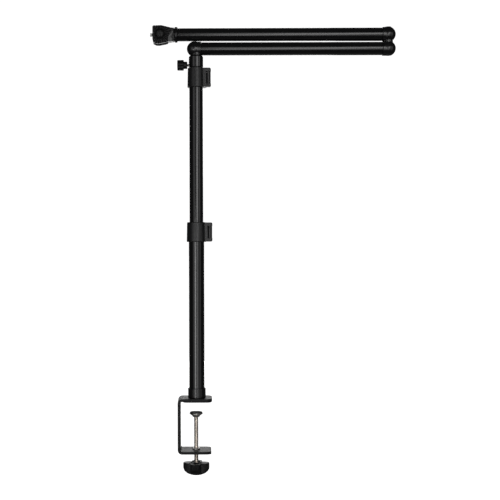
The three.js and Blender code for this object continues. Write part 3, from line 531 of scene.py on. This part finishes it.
def lock_collar(side, z, radius, reach, outer, sliding):
    """Split collar; outer and sliding are the radii of the tubes below and above."""
    top, seat = z + LOCK_H, z + LOCK_SEAT
    ear_end, pin_x = reach - EAR_BACK, reach - PIN_BACK
    ring = lathe(f"{side}_collar", [
        (0, z), (radius + LOCK_DRAFT, z, 1.5), (radius - LOCK_DRAFT, top, 1.4), (0, top),
    ])
    lug = slab("ears", rounded_rect(5, ear_end, -EAR_Y, EAR_Y, 1.6), z - 1, top + 1)
    boss = rounded_rect(ear_end - 3, reach, PIN_Y - 3.6, -SPLIT, 2.4)
    join(lug, slab("low", boss, z - 2, z + KNUCKLE_H), slab("high", boss, top - KNUCKLE_H, top + 2))
    keep(lug, slab("side", rounded_rect(-5, reach, z + 0.6, top - 0.6, LUG_CORNER), -20, 20, "Y"))
    soften(lug, 0.4, 2)
    join(ring, lug)
    at_bolt = (outer + BOLT_OUT, 0, z + LOCK_H / 2)
    split = [
        (outer + 0.5, z - 1), (reach + 5, z - 1), (reach + 5, top + 1), (sliding - 3, top + 1),
        (sliding - 3, seat + 1.5), (outer + 0.5, seat + 1.5),
    ]
    cut(
        ring,
        rod("fixed_bore", outer + 0.15, z - 1, seat + 0.3, facets=ROUND),
        rod("sliding_bore", sliding + 0.2, z - 1, top + 1, facets=ROUND),
        slab("split", split, -SPLIT, SPLIT, "Y"),
        rod("pin_hole", PIN_R + 0.1, z + 1, top - 1, at=(pin_x, PIN_Y, 0)),
        rod("bolt_hole", BOLT_R + 0.2, PIN_Y - 1.5, 20, "Y", at_bolt),
        rod("head_hole", BOLT_HEAD_R + 0.15, BOLT_HEAD_Y, 20, "Y", at_bolt),
    )
    return ring


def lock_lever(side, z, radius, reach):
    """Paddle that starts at the pin and hugs the back of the collar."""
    low, high = z + KNUCKLE_H + 0.6, z + LOCK_H - KNUCKLE_H - 0.6
    pin_x = reach - PIN_BACK
    outside = reach - 0.4
    inside = outside - PADDLE_T
    hug = radius + 3
    outline = [(inside, PIN_Y), (outside, PIN_Y)]
    outline += arc_to((outside, 5), (outside - 1, hug * 0.8), (hug * 0.55, hug + PADDLE_T * 0.6))
    outline += [(hug * 0.2, hug + PADDLE_T + 2.2), (hug * 0.17, hug + PADDLE_T)]
    outline += arc_to((hug * 0.5, hug - PADDLE_T * 0.5), (inside - 1, hug * 0.65), (inside, 4))
    paddle = slab(f"{side}_lever", outline, low, high)
    wide = slab("wide", outline, z + LEVER_EDGE, z + LOCK_H - LEVER_EDGE)
    keep(wide, block("behind", -50, 50, CLEAR_Y, 60, z, z + LOCK_H))
    barrel = rod("barrel", LEVER_BARREL_R, low, high, at=(pin_x, PIN_Y, 0), facets=ROUND)
    join(paddle, wide, barrel)
    grips = []
    for k in range(4):
        spot = Vector(outline[6 + 2 * k])
        grips.append(rod("grip", 0.55, z + 8, z + LOCK_H - 8, at=(spot.x, spot.y, 0), facets=16))
    cut(paddle, rod("pin", PIN_R + 0.1, low - 1, high + 1, at=(pin_x, PIN_Y, 0)), *grips)
    return soften(paddle, 0.35, 2, 40)


def lock(side, body, lever_body, z, radius, reach, outer, sliding):
    collar = soften(lock_collar(side, z, radius, reach, outer, sliding), 0.25, 2, 40)
    piece(collar, body, "lock_plastic", [f"{side}_lock_collar"])
    piece(lock_lever(side, z, radius, reach), lever_body, "lock_plastic", [f"{side}_lock_lever"])
    pin = rod(f"{side}_hinge_pin", PIN_R, z + 1.2, z + LOCK_H - 1.2,
              at=(reach - PIN_BACK, PIN_Y, 0), edge=0.3)
    piece(pin, body, "black_steel", [f"{side}_lock_pin"])
    screw = lathe(f"{side}_clamp_bolt", [
        (0, PIN_Y - 1), (BOLT_R, PIN_Y - 1, 0.3), (BOLT_R, BOLT_HEAD_Y + 0.05),
        (BOLT_HEAD_R, BOLT_HEAD_Y + 0.05), (BOLT_HEAD_R, BOLT_HEAD_Y + 1.9, 0.4),
        (0, BOLT_HEAD_Y + 1.9),
    ], SMALL)
    cut(screw, slab("socket", hexagon(2.5), BOLT_HEAD_Y + 0.8, BOLT_HEAD_Y + 3))
    moved(screw, "Y", (outer + BOLT_OUT, 0, z + LOCK_H / 2))
    piece(screw, body, "black_steel", [f"{side}_lock_bolt"])


lock("lower", "base", "lower_lever", LOWER_LOCK_Z, 17.4, 29.0, LOWER_R, MIDDLE_R)
lock("upper", "middle_mast", "upper_lever", UPPER_LOCK_Z, 15.3, 27.1, MIDDLE_R, INNER_R)


# ------------------------------------------------------------------ pan swivel
def lobes(outer, inner, count, phase, ribs, rib_height):
    """Radius of a knob with fine ribs on its lobes, as a function of the angle."""
    def radius(angle):
        wave = 0.5 + 0.5 * math.cos(count * (angle - phase))
        rib = rib_height * math.cos(ribs * angle)
        return inner + (outer - inner) * wave ** 0.6 + rib * wave
    return radius


def pan_swivel():
    profile = [
        (SLEEVE_BORE, SLEEVE_Z, 0.2), (SLEEVE_R, SLEEVE_Z, 0.3), (SLEEVE_R, SLEEVE_TOP - 2.6, 1.0),
        (SLEEVE_R - 2.2, SLEEVE_TOP, 0.4), (SLEEVE_BORE, SLEEVE_TOP, 0.2),
    ]
    sleeve = lathe("pan_sleeve_turned", profile, closed=True)
    cut(sleeve, rod("hole", 2.6, -20, -5, "X", (0, 0, PAN_Z)))
    piece(sleeve, "swivel_arm", "tube_black", ["pan_sleeve"])

    screw = thread("pan_screw_threaded", 2.45, 0.25, 0.8, -25.5, -10.4, "X", (0, 0, PAN_Z), 24)
    piece(screw, "pan_thumbscrew", "steel", ["pan_lock_screw"])

    left = PAN_KNOB_LEFT
    right, hub_end = left + 11.8, left + 18.2
    knob = lathe("pan_knob_moulded", [
        (0, left), (9.6, left, 1.8), (9.9, right, 1.4), (6.6, right, 0.6), (6.6, hub_end, 1.2),
        (2.5, hub_end, 0.3), (2.5, -25.7), (0, -25.7),
    ], 144, limit=lobes(9.8, 8.0, 6, 0.35, 48, 0.14))
    piece(moved(knob, "X", (0, 0, PAN_Z)), "pan_thumbscrew", "grip_plastic", ["pan_lock_knob"])


pan_swivel()


# ---------------------------------------------------------------------- arms
def ball_end(x_ball, x_seam, x_tip):
    """Profile along X of a cast end: round nose, barrel and spigot."""
    side = 1 if x_seam > x_ball else -1
    nose = []
    for k in range(BALL_NOSE_STEPS + 1):
        angle = math.radians(180 - BALL_NOSE_SWEEP * k / BALL_NOSE_STEPS)
        nose.append((BALL_R * math.sin(angle), x_ball + side * BALL_R * math.cos(angle)))
    nose[0] = (0, nose[0][1])
    rest = [
        (BARREL_R, x_ball + side * 5.4), (BARREL_R, x_seam, 0.6), (SPIGOT_R, x_seam),
        (SPIGOT_R, x_tip, 0.5), (0, x_tip),
    ]
    return nose + rest


def mast_elbow():
    elbow = lathe("elbow_cast", ball_end(ELBOW_X, ELBOW_SEAM, ELBOW_SEAM + SPIGOT_L), axis="X",
                  at=(0, 0, LOWER_ARM_Z))
    keep(elbow, block("slab", -40, 60, -30, 30, SLEEVE_TOP + 0.2, LOWER_ARM_Z + BALL_CUT - 0.3))
    neck = rod("neck", ELBOW_NECK_R, SLEEVE_TOP + 0.2, LOWER_ARM_Z - 3, facets=ROUND)
    keep(neck, block("cap", -20, ELBOW_SEAM - 0.6, -20, 20, SLEEVE_TOP, LOWER_ARM_Z))
    join(elbow, neck, rod("stem", SLEEVE_BORE - 0.15, 621.2, LOWER_ARM_Z, facets=ROUND))
    soften(elbow, 0.5, 3, 25)
    piece(elbow, "swivel_arm", "cast_black", ["mast_elbow"], sharp=50)


def knuckle(name, node, body, z, side):
    """Cast end of an arm at the fold; side is 1 where the other knuckle is above it."""
    profile = ball_end(PIVOT_X, KNUCKLE_SEAM, KNUCKLE_SEAM - SPIGOT_L)
    cast = lathe(name, profile, axis="X", at=(0, 0, z))
    face, outer = MID_Z - side * FACE_GAP, z - side * BALL_CUT
    keep(cast, block("slab", 300, 380, -30, 30, min(face, outer), max(face, outer)))
    join(cast, rod("boss", NECK_R, min(z, face), max(z, face), at=(PIVOT_X, 0, 0), facets=ROUND))
    seat = MID_Z - side * 0.6
    floor, mouth = outer + side * RECESS_DEPTH, outer - side * 2
    cut(
        cast,
        rod("seat", WASHER_R + 0.4, min(seat, MID_Z), max(seat, MID_Z), at=(PIVOT_X, 0, 0),
            facets=ROUND),
        rod("hole", PIVOT_HOLE_R, z - 30, z + 30, at=(PIVOT_X, 0, 0)),
        rod("recess", RECESS_R, min(floor, mouth), max(floor, mouth), at=(PIVOT_X, 0, 0)),
    )
    soften(cast, 0.6, 3, 25)
    piece(cast, body, "cast_black", [node], sharp=50)


def pivot_hardware():
    seat = LOWER_ARM_Z - BALL_CUT + RECESS_DEPTH
    nut_seat = UPPER_ARM_Z + BALL_CUT - RECESS_DEPTH
    bolt = lathe("pivot_screw", [
        (0, seat - 6), (5.2, seat - 6, 0.6), (5.2, seat - 0.1, 0.2), (3, seat - 0.1),
        (3, nut_seat + 5.4, 0.4), (0, nut_seat + 5.4),
    ], SMALL)
    cut(bolt, slab("socket", hexagon(5), seat - 7, seat - 3))
    piece(moved(bolt, at=(PIVOT_X, 0, 0)), "swivel_arm", "black_steel", ["pivot_bolt"])
    cap = lathe("pivot_cap_moulded", [
        (0, nut_seat + 5.8), (6.45, nut_seat + 5.8, 0.2), (6.45, nut_seat + 7.3, 0.5),
        (3.0, nut_seat + 7.9, 3), (0, nut_seat + 7.9),
    ], SMALL)
    piece(moved(cap, at=(PIVOT_X, 0, 0)), "outer_arm", "lock_plastic", ["pivot_cap"])
    washer = pipe("pivot_washer", WASHER_R, PIVOT_HOLE_R, MID_Z - 0.5, MID_Z + 0.5,
                  at=(PIVOT_X, 0, 0), edge=0.2)
    piece(washer, "swivel_arm", "nylon", ["friction_washer"])


def arm_tube(name, node, body, start, z):
    tube = pipe(name, ARM_R, ARM_BORE, start + ARM_GAP, KNUCKLE_SEAM - ARM_GAP, "X", (0, 0, z),
                ARM_EDGE)
    piece(tube, body, "tube_black", [node], "tube_black_x")


def arm_flange():
    flange = lathe("arm_flange", [
        (BOLT_HOLE_R, FLANGE_FACE), (FLANGE_R, FLANGE_FACE, 1.0),
        (FLANGE_R, FLANGE_FACE + 4.2, 0.4), (12.7, FLANGE_X, 0.2), (SPIGOT_R, FLANGE_X),
        (SPIGOT_R, FLANGE_X + 16), (BOLT_HOLE_R, FLANGE_X + 16),
    ], axis="X", at=(0, 0, UPPER_ARM_Z), closed=True)
    piece(flange, "outer_arm", "cast_black", ["arm_end_plug"])


mast_elbow()
arm_tube("arm_tube_lower", "lower_arm_tube", "swivel_arm", ELBOW_SEAM, LOWER_ARM_Z)
knuckle("knuckle_lower", "lower_knuckle", "swivel_arm", LOWER_ARM_Z, 1)
knuckle("knuckle_upper", "upper_knuckle", "outer_arm", UPPER_ARM_Z, -1)
pivot_hardware()
arm_tube("arm_tube_upper", "upper_arm_tube", "outer_arm", FLANGE_X, UPPER_ARM_Z)
arm_flange()


# ------------------------------------------------------------------------ head
def head_neck():
    z = UPPER_ARM_Z
    neck = lathe("neck_moulded", [
        (0, NECK_FACE - 1.9), (13.3, NECK_FACE - 1.9), (13.3, NECK_FACE - 1), (12.6, NECK_FACE),
        (12, NECK_FACE), (12, NECK_FACE + 0.35), (0, NECK_FACE + 0.35),
    ], 8)
    moved(neck, "X", (0, 0, z))
    corners = [
        (NECK_FACE - 1, z + 11.8), (NECK_FACE - 7, z + 12.6, 2), (TILT_X + 15, z + 10.6, 3),
        (TILT_X, z + 8.2), (TILT_X, z - 8.2), (TILT_X + 14.6, z - 13, 2),
        (NECK_FACE - 8, z - 13.6, 2), (NECK_FACE - 1, z - 12),
    ]
    tongue = slab("tongue", rounded(corners, True), -8, 8, "Y")
    half_plan = [
        (TILT_X - 12, TONGUE_HALF), (TILT_X + 8.5, TONGUE_HALF), (TILT_X + 12.5, TONGUE_WAIST),
        (NECK_FACE - 1, TONGUE_HALF),
    ]
    plan = half_plan + [(x, -y) for x, y in reversed(half_plan)]
    keep(tongue, slab("plan", plan, z - 30, z + 30))
    eye = rod("eye", 8.2, -TONGUE_HALF, TONGUE_HALF, "Y", (TILT_X, 0, z), facets=ROUND)
    wedges = []
    facet_outline = [
        (TILT_X + 14, z - 14.5), (TILT_X + 21.7, z - 13.5), (TILT_X + 21.7, z - 7),
        (TILT_X + 18.7, z - 4.5), (TILT_X + 20.7, z - 2), (TILT_X + 25.3, z + 5.2),
        (TILT_X + 22.4, z + 6), (TILT_X + 17.7, z - 0.5), (TILT_X + 14, z - 5),
    ]
    for side in (-1, 1):
        facet = [
            (NECK_FACE - 2, side * 3.9), (NECK_FACE - 2, side * TONGUE_HALF),
            (TILT_X + 15, side * 6.7), (TILT_X + 14, side * 3.9),
        ]
        wedge = slab("wedge", facet, z - 15, z + 8)
        keep(wedge, slab("trim", rounded(corners, True), -7, 7, "Y"))
        wedges.append(keep(wedge, slab("shape", facet_outline, -8, 8, "Y")))
    join(neck, tongue, eye, *wedges)
    cut(neck, rod("tilt", BOLT_HOLE_R, -20, 20, "Y", (TILT_X, 0, z)),
        rod("roll", BOLT_HOLE_R, NECK_FACE - 12, -30, "X", (0, 0, z)))
    soften(neck, 0.4, 2, 20)
    # The neck takes the lighter copy of head_plastic: painted light on its facets.
    piece(neck, "head_swivel", "head_plastic", ["head_neck"], "head_plastic_painted_light", sharp=20)


def cheek_outline():
    """Outline (x, z) of the bracket's cheeks, clockwise from the top of the plate."""
    z = UPPER_ARM_Z
    return rounded([
        (PLATE_RIGHT - 0.5, z + 15.1), (TILT_X + 2.3, z + 15.6, 0.8), (TILT_X + 6.5, z + 14.6, 1),
        (TILT_X + 18.7, z + 11.6, 0.8), (TILT_X + 19.9, z + 10.6, 0.6), (TILT_X + 19.9, z + 6, 1),
        (TILT_X + 16.5, z - 1, 1), (TILT_X + 15.2, z - 5, 1), (TILT_X + 15, z - 13.6, 1),
        (TILT_X + 10.2, z - 15.8, 1), (TILT_X + 3.2, z - 16.9, 1), (TILT_X, z - 17.8, 1),
        (TILT_X - 7.4, z - 17.6, 0.5), (TILT_X - 8.2, z - 16.7, 0.4), (PLATE_RIGHT - 0.5, z - 15.9),
    ], True, 3)


FAN_GROOVES, FAN_STEP, FAN_START = 25, 14.4, 30.0     # rays round the tilt axis, in degrees
RAMP_W, RAMP_DEPTH = 1.9, 0.45
RAMP_OFFSETS = (1.2, -10.4)


def tilt_bracket():
    z = UPPER_ARM_Z
    outline = rounded_rect(-PLATE_Y, PLATE_Y, z - PLATE_HALF, z + PLATE_HALF, 1.5)
    bracket = slab("bracket_moulded", outline, PLATE_LEFT, PLATE_RIGHT, "X")
    join(bracket, slab("front", cheek_outline(), -CHEEK_OUT, -CHEEK_IN, "Y"),
         slab("rear", cheek_outline(), CHEEK_IN, CHEEK_OUT, "Y"))
    grooves = []
    for side in (-1, 1):
        for i in range(FAN_GROOVES):
            groove = slab("groove", [(0, -1.3), (1.3, 0.5), (-1.3, 0.5)], 6.2, 32)
            lie = Matrix.Rotation(math.radians(FAN_START + FAN_STEP * i), 4, "Y")
            face = Matrix.Identity(4) if side > 0 else Matrix.Scale(-1, 4, (0, 1, 0))
            groove.data.transform(Matrix.Translation((TILT_X, side * CHEEK_OUT, z)) @ face @ lie)
            if side < 0:
                groove.data.flip_normals()
            grooves.append(groove)
        near, far = side * CHEEK_OUT, side * (CHEEK_OUT + 1)
        deep = side * (CHEEK_OUT - RAMP_DEPTH)
        for offset in RAMP_OFFSETS:
            left = TILT_X + offset
            ramp = [(left, far), (left, near), (left + RAMP_W, deep), (left + RAMP_W, far)]
            grooves.append(slab("ramp", ramp, z - 20, z - 9.5))
    cut(bracket, *grooves)
    cut(bracket, rod("hole", BOLT_HOLE_R, -20, 20, "Y", (TILT_X, 0, z)),
        rod("sink", 5.3, -20, -CHEEK_OUT + 1.6, "Y", (TILT_X, 0, z)),
        rod("stud", STUD_R + 0.15, -90, -70, "X", (0, 0, z)))
    soften(bracket, 0.25, 2, 25)
    piece(bracket, "head_plate", "head_plastic", ["tilt_bracket"], sharp=25)


def head_fittings():
    z = UPPER_ARM_Z
    pad_plan = rounded_rect(1 - PLATE_Y, PLATE_Y - 1, z - 9.6, z + PLATE_HALF - 1, 1.5)
    pad = slab("platform_rubber", pad_plan, HEAD_LEFT, PLATE_LEFT - 0.1, "X")
    cut(pad, rod("hole", STUD_R + 0.5, -90, -70, "X", (0, 0, z)))
    soften(pad, 0.25, 2)
    piece(pad, "head_plate", "rubber", ["platform_pad"])

    stud = thread("stud_threaded", STUD_R, 0.45, 1.27, HEAD_LEFT - 4.6, PLATE_RIGHT + 0.6, "X",
                  (0, 0, z), 32, 8)
    join(stud, rod("head", 4.6, PLATE_RIGHT + 0.1, PLATE_RIGHT + 1.6, "X", (0, 0, z)))
    piece(stud, "head_plate", "steel", ["camera_stud"], "plated")

    head = -CHEEK_OUT + 1.5
    bolt = lathe("tilt_screw", [
        (0, head - 3.4), (4.9, head - 3.4, 0.7), (4.9, head, 0.2), (2.5, head),
        (2.5, CHEEK_OUT + 14, 0.4), (0, CHEEK_OUT + 14),
    ], SMALL)
    cut(bolt, slab("socket", hexagon(4), head - 5, head - 1.4))
    piece(moved(bolt, "Y", (TILT_X, 0, z)), "head_plate", "black_steel", ["tilt_bolt"])

    washer = pipe("tilt_washer_turned", 5.6, BOLT_HOLE_R, CHEEK_OUT + 0.1, CHEEK_OUT + 1.1, "Y",
                  (TILT_X, 0, z), 0.2, SMALL)
    piece(washer, "tilt_clamp", "steel", ["tilt_washer"])

    y0 = CHEEK_OUT + 1.2
    knob = lathe("tilt_knob_moulded", [
        (2.6, y0), (6.3, y0, 0.4), (8, y0 + 3.4, 1), (11, y0 + 4.2, 1.4), (11, y0 + 12, 1.8),
        (2.6, y0 + 12, 0.3),
    ], 160, closed=True, limit=lobes(11.3, 8.6, 5, 0.3, 60, 0.12))
    piece(moved(knob, "Y", (TILT_X, 0, z)), "tilt_handle", "grip_plastic", ["tilt_knob"])


head_neck()
tilt_bracket()
head_fittings()


# --------------------------------------------------------------- clamp spindle
def spindle():
    centre = (SCREW_X, 0, 0)
    screw = thread("spindle_threaded", SCREW_R, 0.62, 1.25, KNOB_TOP - 13.5, -24.3, at=centre)
    piece(screw, "spindle", "bright_steel", ["clamp_screw"])
    top, bottom = KNOB_TOP, KNOB_TOP - KNOB_H
    bore = SCREW_R + 0.1
    knob = lathe("clamp_knob_moulded", [
        (0, bottom), (11, bottom, 1), (17.2, bottom + 2.6, 4), (21.8, bottom + 6.4, 4),
        (23.6, bottom + 10.5, 3), (KNOB_R + 0.2, bottom + 12.5, 1), (KNOB_R + 0.2, top, 1.8),
        (10.4, top, 0.6), (9.9, top + 1.6, 0.7), (7.4, top + 1.6, 0.5), (7.4, top - 1, 0.3),
        (bore, top - 1), (bore, top - 14.4), (0, top - 14.4),
    ], 288, at=centre, limit=lobes(KNOB_R, 13, 4, KNOB_TURN, 72, 0.4))
    piece(knob, "spindle", "grip_plastic", ["clamp_knob"])

    rubber = lathe("foot_rubber", [(0, -21.6), (11.4, -21.6, 0.2), (11.4, -20, 0.5), (0, -20)],
                   at=centre)
    piece(rubber, "pressure_foot", "rubber", ["pressure_rubber"])
    cup = lathe("foot_cup", [
        (0, -23.9), (4.9, -23.9, 0.3), (4.9, -28.7, 0.3), (6.4, -28.7, 0.4), (7.2, -26.7, 1),
        (12, -23.3, 0.6), (12, -21.7, 0.4), (0, -21.7),
    ], at=centre)
    piece(cup, "pressure_foot", "steel", ["pressure_cup"])


spindle()

# CAD nodes that stay: inner pieces and small fasteners get the finish of their slot.
SLOT_OF = {row["node"]: row["material_slot"] for row in frame["record"]["subparts"]}
for name, node in NODES.items():
    node.data.materials.clear()
    node.data.materials.append(FINISH[SLOT_OF[name]])

# --------------------------------------------------------------------- studio
FLOOR_Z, FLOOR_R, SWEEP_R = -0.22, 4.0, 2.0      # level floor and the curve up from its edge
DOME_Z, DOME_R, CURVE_STEPS = 2.2, 6.0, 12


def stage():
    """Pale floor that sweeps up into a wall and a ceiling all the way round."""
    profile = [(0, FLOOR_Z)]
    for k in range(CURVE_STEPS + 1):
        angle = math.radians(-90 + 90 * k / CURVE_STEPS)
        height = FLOOR_Z + SWEEP_R + SWEEP_R * math.sin(angle)
        profile.append((FLOOR_R + SWEEP_R * math.cos(angle), height))
    for k in range(1, CURVE_STEPS + 1):
        angle = math.radians(90 * k / CURVE_STEPS)
        profile.append((DOME_R * math.cos(angle), DOME_Z + DOME_R * math.sin(angle)))
    profile[-1] = (0, profile[-1][1])
    floor = lathe("floor", profile)
    floor.data.flip_normals()
    floor.data.polygons.foreach_set("use_smooth", [True] * len(floor.data.polygons))
    material = bpy.data.materials.new("floor_white")
    material.use_nodes = True
    shader = material.node_tree.nodes["Principled BSDF"]
    shader.inputs["Base Color"].default_value = (0.8, 0.8, 0.8, 1)
    shader.inputs["Roughness"].default_value = 1.0
    shader.inputs["Specular IOR Level"].default_value = 0.0
    shader.inputs["Emission Color"].default_value = (1, 1, 1, 1)
    shader.inputs["Emission Strength"].default_value = 1.0
    floor.data.materials.append(material)
    floor.visible_glossy = False
    floor.visible_diffuse = False
    floor.visible_shadow = False


def softbox(name, location, target, width, height, radiance):
    """Rectangular light, seen in reflections but not by the camera."""
    light = bpy.data.lights.new(name, "AREA")
    light.shape = "RECTANGLE"
    light.size = width
    light.size_y = height
    light.energy = radiance * 4 * width * height
    lamp = bpy.data.objects.new(name, light)
    bpy.context.scene.collection.objects.link(lamp)
    lamp.location = location
    aim = Vector(target) - Vector(location)
    lamp.rotation_euler = aim.to_track_quat("-Z", "Y").to_euler()
    lamp.visible_camera = False


def polar(azimuth, distance, z):
    """Place at an angle from the front (-Y), positive to the right."""
    angle = math.radians(azimuth)
    return (distance * math.sin(angle), -distance * math.cos(angle), z)


def wall_light(name, azimuth, sweep, low, high, radiance, distance=2.2):
    """Upright softbox facing the mast: centre and width as angles round the mast."""
    width = 2 * distance * math.tan(math.radians(sweep / 2))
    z = (low + high) / 2
    softbox(name, polar(azimuth, distance, z), (0, 0, z), width, high - low, radiance)


LOW, MID, HIGH, TOP = -0.45, 0.37, 0.72, 1.3     # heights where the softboxes start and end
WALL_LIGHTS = [
    # name, azimuth, sweep, lower edge, upper edge, radiance, distance where it isn't the usual
    ("left_edge", -52.5, 15, LOW, TOP, 0.2),
    ("left", -38.5, 13, LOW, TOP, 0.85),
    ("left_low", -27, 10, LOW, MID, 0.95),
    ("strip", -17, 10, LOW, MID, 5.6),
    ("left_high", -22, 20, MID, TOP, 0.42),
    ("front_low", 4, 8, LOW, MID, 2.4),
    ("front_high", 4, 8, MID, TOP, 1.35),
    ("key_low", 12, 8, LOW, MID, 1.6),
    ("key", 12, 8, MID, HIGH, 5.1),
    ("key_top", 12, 8, HIGH, TOP, 1.65),
    ("key_right", 20.5, 9, MID, TOP, 2.7),
    ("right_low", 26, 20, LOW, MID, 0.55),
    ("right_mid", 30.5, 11, MID, HIGH, 0.62),
    ("right_top", 30.5, 11, HIGH, TOP, 2.2),
    ("right", 43, 14, LOW, TOP, 0.23),
    ("right_edge_low", 58, 16, LOW, MID, 0.41),
    ("right_edge_high", 58, 16, MID, TOP, 0.87),
    ("rear_high", 180, 26, 0.6, 2.1, 2.0, 2.6),
    ("rear_low", 180, 26, -0.6, 0.25, 2.0, 2.6),
]

stage()
for row in WALL_LIGHTS:
    wall_light(*row)
softbox("bounce", (0.2, 0.5, -0.2), (0.2, 0.1, 0.6), 1.6, 1.2, 0.06)

world = bpy.data.worlds.new("studio")
bpy.context.scene.world = world
world.use_nodes = True
background = world.node_tree.nodes["Background"]
background.inputs["Color"].default_value = (1, 1, 1, 1)
background.inputs["Strength"].default_value = 0.04

# --------------------------------------------------------------------- camera
CAMERA_AT = (0.010, -1.8, 0.2744)
FOCAL_PIXELS = 989.0
SENSOR, FRAME_PIXELS = 36.0, 500.0
CAMERA_ROLL, CAMERA_SHIFT, CLIP_END = 0.17, 0.096, 50
camera_data = bpy.data.cameras.new("camera")
camera_data.sensor_width = SENSOR
camera_data.lens = FOCAL_PIXELS / FRAME_PIXELS * SENSOR
camera_data.shift_x = CAMERA_SHIFT
camera_data.clip_end = CLIP_END
camera = bpy.data.objects.new("camera", camera_data)
bpy.context.scene.collection.objects.link(camera)
camera.location = CAMERA_AT
camera.rotation_euler = (math.radians(90), math.radians(CAMERA_ROLL), 0)
bpy.context.scene.camera = camera
bpy.context.scene.view_settings.view_transform = "Standard"
bpy.context.scene.view_settings.look = "None"
